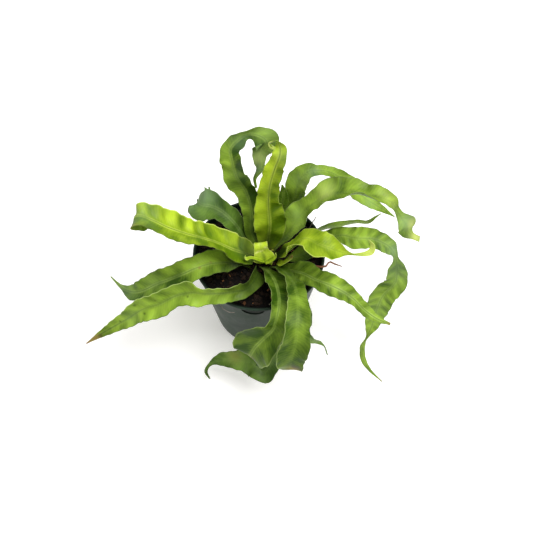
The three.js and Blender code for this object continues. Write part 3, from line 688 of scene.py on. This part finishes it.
grow_frond("frond_centre_tall", "young", waves=7, ruffle=2.2, phase=2.2, channel=0.2,
           pleat=(0.4, 0.2), crinkle=0.1, tones=(-0.1, 0.35), base_painted_shade=0.4, rib=0.8, edges=(0.1, 0.2),
           spine=[
    (6, 1, 78, 2.2, 0), (6, 3, 91, 5, 0), (8, 8, 103, 10, 5), (9, 10, 119, 13, 20),
    (8, 14, 135, 11.5, 15), (8, 15, 150, 8.5, 0), (10, 17, 166, 8, -10), (13, 18, 180, 7, -15),
    (16, 19, 192, 5.5, -5), (16, 22, 198, 4.5, -15), (14, 24, 201, 3, -55),
    (11, 25, 200, 2.5, -80), (8, 24, 199, 2, -80), (10, 21, 197, 2.5, -80),
    (11, 22, 199, 2.5, -80),
], marks=[
    ("tone", 0.66, 0.4, 9, 0.5), ("tone", 0.29, -0.4, 12, -0.3), ("tone", 0.4, 0.5, 9, 0.25),
    ("dark", 0.13, 0.1, 6, 0.5), ("dark", 0.18, -0.2, 6, 0.4), ("tone", 0.83, -0.1, 9, 0.5),
    ("painted_sheen", 0.83, -0.2, 6, 0.2), ("pale", 0.97, 0, 6, 0.35),
])

grow_frond("frond_north_inner", "mature", waves=3, ruffle=1, phase=0.5, channel=0.2,
           pleat=(0.2, 0.2), crinkle=0.15, base_painted_shade=0.6, rib=0.3, edges=(0.1, 0.1), spine=[
    (7, 9.5, 78, 2, 0), (9, 13, 89, 3.2, 0), (16, 24, 100, 5, 0), (18, 29, 113, 5, 0),
    (20, 32, 124, 4.5, 0), (20, 35, 131, 2.5, 0), (19, 36, 136, 0.8, 0),
], marks=[
    ("dark", 0.6, 0, 10, 0.4),
])

grow_frond("frond_northeast_back", "mature", waves=8, ruffle=0.4, phase=-0.2, channel=0.25,
           pleat=(0.35, 0.35), crinkle=0.2, tones=(0.1, 0.15), rib=0.25, edges=(0.1, 0.1), spine=[
    (13.5, 5.5, 78, 2.2, 0), (15, 9, 89, 3.5, 5), (25, 24, 97, 7, 15), (26, 32, 108, 9.5, 25),
    (30, 35, 121, 10, 30), (32, 39, 134, 10, 25), (35, 39, 142, 9.5, 15), (40, 40, 148, 7, 10),
    (46, 40, 149, 4.5, 0), (54, 41, 147, 5, -5), (66, 40, 140, 6, 10), (77, 35, 132, 7.5, 20),
    (89, 31, 122, 5.5, 15), (102, 29, 113, 3, 20), (113, 26, 106, 0.5, 20),
], marks=[
    ("tone", 0.43, 0.1, 9, 0.75), ("painted_sheen", 0.43, 0.1, 8, 0.25),
    ("painted_sheen", 0.85, -0.2, 8, 0.3), ("dark", 0.3, -0.6, 8, 0.4), ("tone", 0.6, 0.2, 7, 0.15),
    ("tone", 0.69, -0.1, 7, 0.35), ("tone", 0.8, 0, 12, 0.5), ("tone", 0.86, -0.2, 7, 0.35),
    ("painted_sheen", 0.52, -0.3, 7, 0.28),
])

# %% [markdown]
# ## The fronds to the east
#
# These arch over the pot's edge. The long one falls past the rim on its edge, so its turn grows to
# 90 degrees. Its regular pleats are the clearest of all. Two tips are pale, where new tissue still
# unrolls, and the other pale marks on the high one are painted highlights.

# %% The fronds to the east
grow_frond("frond_northeast_high", "mature", waves=8, ruffle=1.1, phase=0.3, channel=0.5,
           pleat=(0.2, 0.35), crinkle=0.1, tones=(0.1, 0.2), base_painted_shade=0.35, rib=0.15, edges=(0.1, 0.1),
           spine=[
    (10.5, 1, 78, 2.2, 0), (12.5, 2, 91, 3.5, 0), (25, 9, 108, 8.5, 25), (34, 15, 124, 10.5, 40),
    (44, 16, 138, 7.5, 20), (54, 16, 148, 12.5, 5), (62, 14, 153, 11.5, -5),
    (72, 13, 157, 11, -10), (82, 9, 158, 9, -30), (92, 7, 157, 9, -10), (101, 6, 153, 5.5, 20),
    (106, 5, 146, 2.5, 30), (111, 2, 138, 5, 40), (116, 0, 131, 9, 40), (118, -2, 125, 6.5, 40),
    (122, -4, 122, 3.6, 10), (128, -6, 120, 3.4, 0),
], marks=[
    ("tone", 0.47, 0.3, 7, 0.35), ("tone", 0.53, 0.3, 5, -0.35), ("tone", 0.4, 0, 6, 0.4),
    ("tone", 0.27, 0.2, 10, 1), ("painted_sheen", 0.28, 0.2, 8, 0.25), ("pale", 0.46, 0.3, 7, 0.25),
    ("painted_sheen", 0.47, 0.4, 7, 0.15), ("pale", 0.74, 0.3, 9, 0.15), ("tone", 0.62, 0, 9, 0.15),
    ("tone", 0.72, 0.4, 7, 0.3), ("painted_sheen", 0.88, 0.2, 8, 0.5), ("tone", 0.87, 0, 6, 0.4),
    ("pale", 0.91, 0.6, 4, 0.4), ("dark", 0.94, -0.8, 2.5, 0.5), ("pale", 0.98, 0, 5, 0.55),
])

grow_frond("frond_east_narrow", "mature", waves=4, ruffle=0.5, phase=-0.2, channel=0.2,
           pleat=(0.15, 0.15), crinkle=0.1, tones=(0.15, 0.15), rib=0.2, edges=(0.2, 0.1), spine=[
    (16.5, -0.5, 78, 2.2, 0), (20, 0.5, 89, 3.2, 0), (33, 6, 98, 4, -15), (46, 8, 110, 4, -30),
    (57, 8, 117, 4.5, -35), (68, 7, 122, 5, -30), (78, 7, 125, 3.5, -40), (87, 7, 125, 3.5, -40),
    (93, 11, 126, 2, -40), (98, 14, 127, 0.6, -45),
], marks=[
    ("tone", 0.72, 0, 14, 0.35),
])

grow_frond("frond_east_arching", "mature", waves=9, ruffle=0.8, phase=0.4, channel=0.2,
           pleat=(0.35, 0.5), spacing=8, crinkle=0.2, tones=(0.1, 0.2), rib=0.4, edges=(0.1, 0), spine=[
    (18.5, -6, 78, 2.2, 0), (21.5, -6.5, 89, 3.2, 0), (34, -6, 96, 8.5, 30),
    (51, -2, 108, 8.5, 45), (66, -1, 118, 6.5, 55), (77, -5, 120, 9, 55), (91, -6, 120, 8, 45),
    (104, -10, 115, 6.5, 60), (110, -14, 106, 2, 70), (112, -19, 97, 7.5, 90),
    (112, -25, 85, 9.5, 85), (103, -31, 74, 11, 90), (99, -37, 61, 9.5, 90),
    (96, -45, 49, 6.5, 90), (92, -52, 38, 0.8, 90), (89, -57, 31, 2.5, 75),
    (90, -65, 22, 2.5, 70), (96, -72, 15, 1.5, 60), (107, -80, 8, 0.5, 60),
], marks=[
    ("tone", 0.33, 0.2, 7, 0.75), ("tone", 0.65, -0.1, 8, 0.25), ("painted_sheen", 0.7, 0, 14, 0.15),
    ("tone", 0.28, 0.4, 5, 0.35), ("painted_sheen", 0.43, 0, 8, 0.24), ("dark", 0.15, -0.8, 10, 0.6),
    ("tone", 0.55, 0.3, 8, 0.3), ("dark", 0.52, 0, 10, 0.35), ("painted_sheen", 0.52, 0, 12, 0.35),
    ("painted_sheen", 0.45, 0.4, 5, 0.35), ("tone", 0.72, 0.5, 7, 0.4), ("tone", 0.76, -0.2, 6, 0.3),
    ("brown", 1, 0, 5, 0.5),
])

grow_frond("frond_east_young", "young", waves=4, ruffle=1.8, phase=1.5, channel=0.25,
           pleat=(0.3, 0.2), crinkle=0.12, tones=(0, 0.1), base_painted_shade=0.9, rib=0.25, edges=(0.9, 0.3),
           spine=[
    (11.5, -4.5, 78, 2, 0), (13, -5, 91, 2.8, 0), (18, -9, 103, 4, 0), (23, -13, 115, 6, -5),
    (29, -14, 128, 7.5, -10), (38, -18, 138, 8, -15), (46, -25, 141, 11, 0),
    (53, -28, 141, 10.5, -10), (60, -29, 138, 6, 10), (69, -29, 134, 1, 0),
    (79, -28, 132, 1.5, 0), (86, -27, 134, 2.5, 0), (87, -24, 138, 2, 0), (84, -22, 142, 0.7, 0),
], marks=[
    ("dark", 0.12, 0, 8, 1), ("dark", 0.2, 0, 6, 0.9), ("dark", 0.26, 0.3, 4, 0.7),
    ("tone", 0.4, -0.8, 6, 0.6), ("tone", 0.44, 0.6, 6, -0.25), ("tone", 0.72, 0.2, 7, 0.25),
    ("tone", 0.5, 0, 7, 0.3), ("pale", 0.93, 0, 9, 0.5), ("tone", 0.93, 0, 9, 0.5),
])

grow_frond("frond_southeast", "mature", waves=6, ruffle=0.3, phase=1.7, channel=0.3,
           pleat=(0.4, 0.4), spacing=9, crinkle=0.2, tones=(0.05, 0.15), base_painted_shade=0.6, rib=0.7,
           edges=(0, 0.1), spine=[
    (15, -12, 78, 2.2, 0), (17, -13.5, 89, 3.2, 0), (25, -20, 95, 6.5, 0),
    (35, -25, 99, 10.5, -5), (45, -34, 104, 9, -10), (55, -39, 105, 9, 5), (66, -44, 103, 8, 5),
    (75, -49, 99, 6, -5), (84, -55, 92, 5.5, -5), (94, -60, 87, 3, 0), (105, -62, 82, 1.1, 0),
], marks=[
    ("tone", 0.54, 0.3, 7, 0.45), ("tone", 0.35, 0.1, 8, 0.1), ("tone", 0.7, 0.2, 7, 0.25),
    ("tone", 0.89, 0.4, 8, 0.3), ("brown", 1, 0, 3, 0.6),
])

# %% [markdown]
# ## The fronds over the front
#
# In front, two broad fronds bend over the lip and fold under at their ends, where the tissue is
# bruised brown and the fold is darkened with painted shade. A thin one hides behind them, and a
# narrower one runs below them to the left.

# %% The fronds over the front
grow_frond("frond_south_left", "mature", waves=6, ruffle=1.4, phase=-1.1, channel=0.35,
           pleat=(0.15, 0.2), crinkle=0.2, tones=(-0.12, -0.02), base_painted_shade=0.6, rib=0.55,
           edges=(0.3, 0.45), spine=[
    (2.5, -8.5, 78, 2.2, 0), (2, -12, 88, 2.4, 0), (7, -20, 94, 4, 0), (13, -33, 100, 8.5, 5),
    (16, -51, 104, 6.5, 0), (15, -64, 105, 7, -10), (13, -71, 102, 7.5, -20),
    (11, -74, 96, 9.5, -5), (4, -78, 88, 14.5, 20), (-3, -81, 78, 17.5, 25),
    (-7, -83, 67, 13, 25), (-6, -78, 60, 7, 25), (-2, -75, 54, 2.5, 10), (2, -73, 52, 0.9, 5),
], marks=[
    ("tone", 0.34, 0, 9, -0.2), ("tone", 0.5, 0.3, 8, 0.35), ("painted_sheen", 0.85, 0, 5, 0.12),
    ("dark", 0.76, -0.8, 9, 0.2), ("brown", 0.86, 0.1, 4, 0.35),
])

grow_frond("frond_south_right", "mature", waves=6, ruffle=1.7, phase=1, channel=0.25,
           pleat=(0.1, 0.12), crinkle=0.2, tones=(-0.06, -0.04), base_painted_shade=0.6, rib=0.12,
           edges=(0.45, 0), spine=[
    (8.5, -10, 78, 2.2, 0), (11, -14.5, 91, 2.6, 0), (17, -21, 100, 4, -5),
    (26, -38, 109, 6.5, -10), (30, -55, 114, 7.5, 5), (30, -71, 116, 9, 0),
    (29, -83, 112, 10, -5), (28, -90, 104, 11, 0), (25, -96, 93, 11, 5), (25, -98, 80, 9.5, 5),
    (26, -95, 68, 7.5, 0), (27, -89, 62, 4.5, 0), (28, -81, 58, 0.8, 0),
], marks=[
    ("tone", 0.45, 0.2, 7, 0.35), ("tone", 0.59, 0.2, 6, 0.3), ("dark", 0.66, 0.7, 6, 0.35),
    # The strong dark mark at the fold is painted shade.
    ("dark", 0.33, -0.6, 6, 0.4), ("dark", 0.81, 0.45, 4, 0.75),
    ("brown", 0.85, 0.2, 6, 0.65),
])

grow_frond("frond_southeast_under", "shaded", waves=4, ruffle=0.7, phase=0.3, channel=0.25,
           pleat=(0.15, 0.15), crinkle=0.1, rib=0.2, edges=(0.1, 0.1), spine=[
    (12.5, -16.5, 78, 2, 0), (15.5, -20, 89, 2.8, 0), (24, -30, 92, 4, 0), (32, -45, 96, 5, 0),
    (35, -56, 95, 6, 0), (36, -63, 90, 6, 0), (36, -68, 82, 4, 0), (42, -70, 70, 3, -5),
    (48, -68, 62, 2.5, -5), (54, -68, 54, 0.5, 0), (57, -72, 46, 0.5, 0),
], marks=[
    ("tone", 0.8, 0, 9, 0.5),
])

grow_frond("frond_south_tail", "shaded", waves=6, ruffle=1, phase=0.7, channel=0.1,
           pleat=(0.3, 0.3), crinkle=0.15, rib=0.15, edges=(0, 0.1), spine=[
    (7, -16.5, 78, 2, 0), (7.5, -19.5, 88, 2.6, 0), (12, -31, 91, 4, 0), (21, -44, 96, 5, 0),
    (25, -55, 97, 6, -5), (26, -66, 91, 6.5, 0), (22, -74, 81, 8.5, 15), (13, -77, 68, 11, 45),
    (10, -82, 52, 8, 50), (3, -87, 43, 10, 65), (-5, -76, 39, 12.5, 90), (-18, -71, 33, 9.5, 80),
    (-32, -68, 28, 6.5, 70), (-42, -70, 23, 2, 60), (-46, -74, 17, 1.5, 60),
    (-43, -78, 10, 0.7, 60),
], marks=[
    ("brown", 0.79, -0.4, 7, 0.35), ("tone", 0.78, 0, 11, 0.75), ("tone", 0.66, 0.4, 8, 0.4),
    ("dark", 0.6, -0.1, 9, 0.3), ("dark", 0.97, 0.5, 4, 0.7),
])

# %% [markdown]
# ## The heart of the plant
#
# The youngest frond is still rolled up at its end and crinkled all over. Beside it stands a stalk
# that was cut short, brown where it was cut. Two torn strips curl off the roll, and its corners stand
# up as two small horns. The same function grows them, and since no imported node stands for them, their
# names don't start with frond_ and they replace nothing.

# %% The heart of the plant
grow_frond("frond_heart_curl", "young", waves=2, ruffle=1, phase=0.5, channel=0.2, heading=90,
           pleat=(0.2, 0.2), crinkle=0.45, tones=(0.5, 0.45), base_painted_shade=0.3, rib=0, edges=(1, 1), spine=[
    (6, -4.5, 78, 1.8, 0), (5.5, -8, 89, 2.6, 0), (5.5, -13, 96, 5, 0), (4.5, -11, 101, 8.6, 0),
    (2.6, -8, 105.5, 6.3, 0), (1.6, -7, 109.5, 5.4, 0), (1.5, -4.5, 111, 5.4, 0),
    (1.5, -1.5, 108.5, 4.5, 0), (1.5, -1.5, 105.5, 3, 0),
], marks=[
    # The small strong pale marks across the roll are painted highlights.
    ("tone", 0.76, 0, 6, 0.6), ("pale", 0.7, 0, 6, 0.08), ("pale", 0.7, 0.7, 0.9, 1),
    ("pale", 0.71, 0.45, 0.8, 1), ("pale", 0.7, 0.15, 0.8, 1),
    ("pale", 0.71, -0.15, 0.7, 0.9), ("pale", 0.77, -0.65, 1, 1),
    ("pale", 0.76, -0.9, 0.9, 1), ("pale", 0.86, 0.1, 2, 0.4), ("dark", 0.42, 0.5, 4, 0.5),
])

grow_frond("frond_cut_short", "young", waves=1, ruffle=0.5, phase=0.5, channel=0.2,
           pleat=(0.1, 0.1), crinkle=0.05, base_painted_shade=0.3, rib=0.1, edges=(0.6, 0.3), spine=[
    (14.5, -7.5, 78, 1.6, 0), (15.5, -9, 91, 2.2, 0), (20, -18, 103, 3, 0), (27, -15, 109, 3, 0),
], marks=[
    ("brown", 1, 0, 3, 0.9), ("pale", 0.93, -0.8, 2.5, 0.4), ("tone", 0.7, 0, 12, 0.6),
    ("pale", 0.97, 0.5, 1.5, 0.8),
])

grow_frond("heart_strip_left", "young", waves=1, ruffle=0.2, phase=0.5, channel=0.2,
           pleat=(0, 0), crinkle=0.15, tones=(0.3, 0.3), base_painted_shade=0.2, rib=0, cells=10, spine=[
    (5, -12.3, 97, 1.6, 0), (1, -13.4, 100.5, 1.9, 0), (-3, -13.3, 103, 1.5, 0),
    (-7, -13.6, 104.5, 1.3, 0), (-9.8, -14.5, 104, 1.7, 0), (-11.2, -14.5, 105.5, 1.5, 0),
    (-10.6, -13.4, 107.5, 0.5, 0),
], marks=[("pale", 0.9, 0.6, 2, 0.5)])

grow_frond("heart_strip_right", "young", waves=1, ruffle=0.2, phase=1, channel=0.2,
           pleat=(0, 0), crinkle=0.15, tones=(0.2, 0.2), base_painted_shade=0.2, rib=0, cells=10, spine=[
    (5.9, -13.5, 98, 2.5, 0), (9.1, -13, 101, 3.4, 0), (12, -12.7, 103.5, 2.8, 0),
    (13.8, -11.7, 105, 1.7, 0), (13.6, -11.1, 107.5, 0.5, 0),
], marks=[("pale", 1, 0, 1.5, 0.5)])

HORNS = {
    "heart_horn_right": [(5.5, -7.4, 107, 1.3, 0), (6.5, -5.6, 110.5, 0.9, 0),
                         (6.4, -3.7, 113.5, 0.5, 0)],
    "heart_horn_left": [(-2.2, -7.4, 107, 1.3, 0), (-3.1, -6.2, 109.8, 0.9, 0),
                        (-3.8, -4.9, 112, 0.5, 0)],
}
for name, spine in HORNS.items():
    grow_frond(name, "young", waves=1, ruffle=0, phase=0, channel=0.1, pleat=(0, 0), crinkle=0,
               tones=(0.5, 0.5), base_painted_shade=0, rib=0, cells=6, spine=spine, marks=[("pale", 1, 0, 3, 0.5)])

# %% [markdown]
# ## Crumbs of potting mix
#
# Potting mix is a heap of peat crumbs and bark chips, and its top is never smooth. The packed
# model's mix has the heap's form, and loose pieces are laid on it. Three crumbs and two bark chips
# are modelled: a cube, subdivided, pulled round and shaken in edit mode, so each has only 48
# triangles. They are copied by a seeded rule, each copy with its own mesh, size and turn. Peat
# crumbs are sunk a little into the mix, and the bark and the grit lie on top. All copies of one
# kind become one piece, with an attribute that gives each crumb its own shade.

# %% Crumb shapes
def edit(steps):
    """Runs mesh operators on all of the active object's faces in edit mode."""
    bpy.ops.object.mode_set(mode="EDIT")
    bpy.ops.mesh.select_all(action="SELECT")
    for operator, settings in steps:
        operator(**settings)
    bpy.ops.mesh.select_all(action="SELECT")
    bpy.ops.mesh.normals_make_consistent(inside=False)
    bpy.ops.object.mode_set(mode="OBJECT")


def model_crumb(name, size, seed, roundness, shake):
    """One crumb around the origin: a cube, subdivided, pulled round and shaken."""
    bpy.ops.mesh.primitive_cube_add(size=1)
    crumb = bpy.context.object
    crumb.name = name
    edit([
        (bpy.ops.mesh.subdivide, {"number_cuts": 1}),
        (bpy.ops.transform.tosphere, {"value": roundness}),
        (bpy.ops.transform.vertex_random, {"offset": shake, "seed": seed}),
        (bpy.ops.transform.resize, {"value": [v * MM for v in size], "center_override": (0, 0, 0)}),
    ])
    crumb.select_set(False)
    return crumb


crumbs = [model_crumb("crumb_round", (2.0, 1.8, 1.4), seed=3, roundness=0.8, shake=0.12),
          model_crumb("crumb_flat", (2.8, 1.9, 1.0), seed=7, roundness=0.6, shake=0.16),
          model_crumb("crumb_lump", (3.2, 2.6, 2.0), seed=11, roundness=0.7, shake=0.2)]
chips = [model_crumb("chip_long", (6.5, 1.8, 1.1), seed=13, roundness=0.15, shake=0.1),
         model_crumb("chip_square", (4.2, 2.8, 0.9), seed=17, roundness=0.1, shake=0.1)]
print("crumb faces:", [len(c.data.polygons) for c in crumbs + chips])

# %% [markdown]
# ## Where a crumb lies
#
# The mix's top follows a formula, so the height under any crumb is known, and no ray has to be
# cast. Crumbs keep clear of the crown and of the pot's wall.

# %% Laying out the litter
SOIL_HEIGHT = 86
SOIL_RELIEF = 1.1
SOIL_RADIUS = 51.2
CROWN_CENTRE = Vector((6, -4, 0))
CROWN_RADIUS = 18
DRAW_RADIUS = 50  # places are drawn a little past the litter's own radius, then refused there
LITTER_RADIUS = 48.5


def soil_height(x, y):
    """Height in mm of the mix's top at x and y."""
    away = math.hypot(x, y)
    fall = 1 - float(smoothstep(away, 0.8 * SOIL_RADIUS, SOIL_RADIUS))
    rise = math.sin(x / 5.1 + 1.3) * math.sin(y / 4.3 + 0.4) + 0.6 * math.sin((x + y) / 8.7 + 2)
    return SOIL_HEIGHT + SOIL_RELIEF * fall * rise


def joined(copies, name):
    """Makes one piece of many copies, which rides on the root body."""
    bpy.ops.object.select_all(action="DESELECT")
    for copy in copies:
        copy.select_set(True)
    bpy.context.view_layer.objects.active = copies[0]
    if len(copies) > 1:
        bpy.ops.object.join()
    piece = bpy.context.object
    piece.name = name
    bpy.ops.object.transform_apply(location=True, rotation=True, scale=True)
    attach(piece, "root")
    piece.select_set(False)
    return piece


def scatter(shapes, count, seed, sizes, tilt, sunk, name, material):
    """Lays seeded copies of the shapes on the mix and joins them."""
    draw = random.Random(seed)
    copies = []
    while len(copies) < count:
        away = DRAW_RADIUS * math.sqrt(draw.random())
        angle = draw.uniform(0, 2 * math.pi)
        x, y = away * math.cos(angle), away * math.sin(angle)
        on_crown = (Vector((x, y, 0)) - CROWN_CENTRE).length < CROWN_RADIUS + 2
        if on_crown or away > LITTER_RADIUS:
            continue
        copy = draw.choice(shapes).copy()
        copy.data = copy.data.copy()
        bpy.context.collection.objects.link(copy)
        size = draw.uniform(*sizes)
        rest = soil_height(x, y) + (0.5 - sunk) * size
        copy.location = Vector((x, y, rest)) * MM
        copy.rotation_euler = (draw.uniform(-tilt, tilt), draw.uniform(-tilt, tilt), draw.uniform(0, 6.3))
        copy.scale = [size * draw.uniform(0.8, 1.2) for _ in range(3)]
        shade = copy.data.attributes.new("shade", "FLOAT", "POINT")
        shade.data.foreach_set("value", [draw.random()] * len(copy.data.vertices))
        copies.append(copy)
    piece = joined(copies, name)
    piece.data.materials.append(material)
    print(name, len(copies), "copies,", len(piece.data.polygons) * 2, "triangles")


print("mix height at the centre", round(soil_height(0, 0), 2), "mm")

# %% Litter materials
def litter_material(name, dark, light, scale):
    """Bits of bark and peat: each its own brown, with a fine grain."""
    material, tree = bare_material(name)
    own = add_node(tree, "Attribute", out="Fac", attribute_name="shade")
    place = add_node(tree, "TexCoord", out="Object")
    grain = add_node(tree, "TexNoise", {"Vector": place, "Scale": scale, "Detail": 3.0})
    share = add_node(tree, "Math", {0: grain, 1: 0.5, 2: own}, operation="MULTIPLY_ADD")
    share = add_node(tree, "MapRange", {"Value": share, 1: 0.2, 2: 1.3})
    colour = add_node(tree, "Mix", {0: share, 6: linear(dark), 7: linear(light)}, 2, data_type="RGBA")
    bump = add_node(tree, "Bump", {"Height": grain, "Strength": 0.7, "Distance": 0.0004})
    shader = add_node(tree, "BsdfPrincipled", {"Base Color": colour, "Roughness": 0.88, "Normal": bump,
                                               "IOR": 1.4, "Specular IOR Level": 0.3})
    add_node(tree, "OutputMaterial", {"Surface": shader})
    return material


peat = litter_material("peat_crumbs", "060403", "291a10", 900.0)
bark = litter_material("reddish_bark", "1f0f08", "94623c", 1100.0)
perlite = litter_material("pale_grit", "8d8676", "e6e1d2", 1500.0)
scatter(crumbs, count=430, seed=5, sizes=(0.5, 1.35), tilt=0.8, sunk=0.1, name="peat_crumbs", material=peat)
scatter(chips, count=40, seed=9, sizes=(0.3, 0.75), tilt=0.35, sunk=-0.1, name="bark_chips", material=bark)
scatter(crumbs[:1], count=34, seed=21, sizes=(0.3, 0.55), tilt=1.5, sunk=-0.3, name="pale_grit",
        material=perlite)
for shape in crumbs + chips:
    bpy.data.objects.remove(shape)

# %% [markdown]
# ## Twigs and a root
#
# A few loose bits lie across the rim: a reddish twig to the right, a grey one in front and a thin
# root that stands up at the back. Each is a small round face, drawn out along its path. The face
# is extruded to each next place and turned and thinned there, so one helper makes them all.

# %% Drawing a twig along its path
STICK_SIDES = 6


def draw_along(name, path, radii, material, sides=STICK_SIDES):
    """A closed tapering stick through places in mm."""
    start = Vector(path[0]) * MM
    bpy.ops.object.select_all(action="DESELECT")
    bpy.ops.mesh.primitive_circle_add(vertices=sides, radius=radii[0] * MM, fill_type="NGON")
    stick = bpy.context.object
    stick.name = name
    way = (Vector(path[1]) - Vector(path[0])).normalized()
    turn = Vector((0, 0, 1)).rotation_difference(way)
    stick.data.transform(turn.to_matrix().to_4x4())
    stick.data.transform(Matrix.Translation(start))
    bpy.ops.object.mode_set(mode="EDIT")
    bpy.ops.mesh.select_mode(type="FACE")
    bpy.ops.mesh.select_all(action="SELECT")
    for i in range(1, len(path)):
        here, before = Vector(path[i]) * MM, Vector(path[i - 1]) * MM
        bpy.ops.mesh.extrude_region_move(TRANSFORM_OT_translate={"value": here - before})
        grow = radii[i] / radii[i - 1]
        bpy.ops.transform.resize(value=(grow, grow, grow), center_override=here)
    bpy.ops.mesh.select_all(action="SELECT")
    bpy.ops.mesh.normals_make_consistent(inside=False)
    bpy.ops.object.mode_set(mode="OBJECT")
    bpy.ops.object.shade_smooth_by_angle(angle=math.radians(70))
    stick.data.materials.append(material)
    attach(stick, "root")
    stick.select_set(False)
    return stick


def plain_stick_material(name, dark, light):
    """Dry bark on a thin stick: dull and rough, with patches a little over 1 mm across."""
    material, tree = bare_material(name)
    place = add_node(tree, "TexCoord", out="Object")
    patches = add_node(tree, "TexNoise", {"Vector": place, "Scale": 800.0, "Detail": 3.0})
    colour = add_node(tree, "Mix", {0: patches, 6: linear(dark), 7: linear(light)}, 2, data_type="RGBA")
    bump = add_node(tree, "Bump", {"Height": patches, "Strength": 0.6, "Distance": 0.0003})
    shader = add_node(tree, "BsdfPrincipled", {"Base Color": colour, "Roughness": 0.7, "Normal": bump})
    add_node(tree, "OutputMaterial", {"Surface": shader})
    return material


print("a stick has", STICK_SIDES, "sides")

# %% Twigs and a root
twig_bark = plain_stick_material("reddish_twig_bark", "3b1a0c", "9c6240")
dry_root = plain_stick_material("dry_grey_root", "3a332b", "8d8378")
draw_along("twig_reddish", [(43, -11, 88), (48, -14.5, 92.6), (50.5, -15.5, 93.4), (54.9, -15.2, 94.2),
                            (56.8, -12.6, 95), (58.6, -11.6, 95.2), (62, -13.2, 94.6), (68, -15, 93.6)],
           [1, 0.95, 0.9, 0.85, 0.85, 0.75, 0.7, 0.35], twig_bark)
draw_along("root_thin", [(41.5, 25, 86), (43.8, 26, 93), (45.3, 27, 97.5), (46.8, 28, 99),
                         (47.6, 29.4, 100.5), (50.5, 29.8, 101)],
           [0.5, 0.45, 0.42, 0.42, 0.38, 0.2], dry_root)
draw_along("twig_grey", [(-27, -37, 86), (-29.5, -41.5, 91.5), (-31, -46.5, 93.2), (-30.5, -50.5, 93.4),
                         (-28.1, -54.5, 93.4), (-23.3, -57.4, 93.2), (-19, -57.6, 92.9)],
           [0.4, 0.38, 0.35, 0.32, 0.3, 0.28, 0.2], dry_root)
print("three sticks laid over the rim")

# %% [markdown]
# ## Scales on the crown
#
# The crown of this fern is covered in narrow brown scales, which also sheathe each stalk's foot.
# One scale is drawn with the same helper, as a thin four-sided strip that bends outwards and tapers
# to a point. It is copied round the crown by a seeded rule, each copy with its own size and turn.

# %% Crown scales
SCALE_COUNT = 170
SCALE_REACH = 16.5
CROWN_TOP, CROWN_FALL = 91.2, 4.6
scale_bark = litter_material("brown_papery_scale", "1c1108", "6b4a26", 1300.0)
draw = random.Random(31)
model = draw_along("scale_model", [(0, 0, -0.6), (0.15, 0, 1.2), (0.6, 0, 2.8), (1.5, 0, 4), (2.4, 0, 4.6)],
                   [0.42, 0.4, 0.3, 0.18, 0.05], scale_bark, sides=4)
scales = []
for _ in range(SCALE_COUNT):
    copy = model.copy()
    copy.data = model.data.copy()
    bpy.context.collection.objects.link(copy)
    away, angle = SCALE_REACH * math.sqrt(draw.random()), draw.uniform(0, 2 * math.pi)
    foot = CROWN_TOP - CROWN_FALL * (away / CROWN_RADIUS)**2
    outwards = Vector((math.cos(angle), math.sin(angle), 0))
    copy.location = (CROWN_CENTRE + away * outwards + Vector((0, 0, foot))) * MM
    copy.rotation_euler = (draw.uniform(-0.5, 0.5), draw.uniform(-0.1, 0.7), angle + draw.uniform(-0.7, 0.7))
    copy.scale = [draw.uniform(0.55, 1.05)] * 3
    shade = copy.data.attributes.new("shade", "FLOAT", "POINT")
    shade.data.foreach_set("value", [draw.random()] * len(copy.data.vertices))
    scales.append(copy)
bpy.data.objects.remove(model)
scales = joined(scales, "crown_scales")
print("crown scales:", len(scales.data.polygons), "faces")

# %% [markdown]
# ## The smallest frond
#
# In the middle of the crown a new frond is just a coil on a short stalk. It starts as a round
# face that is drawn straight up. Then each extrusion is turned and shrunk about the coil's centre,
# so the coil winds in and gets thinner by itself.

# %% Coiled frond
COIL_TURN = math.radians(30)
COIL_SHRINK = 0.925
COIL_STEPS = 19
COIL_RADIUS = 1.9 * MM
STALK_STEP = 2 * MM
STALK_STEPS = 3
COIL_PLACE = Vector((10.4, -1.6, 95.5)) * MM
bpy.ops.object.select_all(action="DESELECT")
bpy.ops.mesh.primitive_circle_add(vertices=10, radius=0.7 * MM, fill_type="NGON")
coil = bpy.context.object
coil.name = "coiled_frond"
coil.data.transform(Matrix.Translation((COIL_RADIUS, 0, -STALK_STEPS * STALK_STEP)))
bpy.ops.object.mode_set(mode="EDIT")
bpy.ops.mesh.select_mode(type="FACE")
bpy.ops.mesh.select_all(action="SELECT")
for _ in range(STALK_STEPS):
    bpy.ops.mesh.extrude_region_move(TRANSFORM_OT_translate={"value": (0, 0, STALK_STEP)})
for _ in range(COIL_STEPS):
    bpy.ops.mesh.extrude_region_move(TRANSFORM_OT_translate={"value": (0, 0, 0)})
    bpy.ops.transform.rotate(value=COIL_TURN, orient_axis="Y", center_override=(0, 0, 0))
    bpy.ops.transform.resize(value=(COIL_SHRINK,) * 3, center_override=(0, 0, 0))
bpy.ops.mesh.select_all(action="SELECT")
bpy.ops.mesh.normals_make_consistent(inside=False)
bpy.ops.object.mode_set(mode="OBJECT")
coil.data.transform(Matrix.Translation(COIL_PLACE) @ Matrix.Rotation(0.5, 4, "Z"))
bpy.ops.object.shade_smooth_by_angle(angle=math.radians(60))
for key in LEAF_VALUES:
    layer = coil.data.attributes.new(key, "FLOAT", "POINT")
    value = {"across": 0.3, "across_mm": 3.0, "tone": 0.1, "brown": 0.45}.get(key, 0.0)
    layer.data.foreach_set("value", [value] * len(coil.data.vertices))
coil.data.materials.append(LEAVES["young"])
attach(coil, "root")
coil.select_set(False)
print("coiled frond", [round(v / MM, 1) for v in coil.dimensions], "mm")
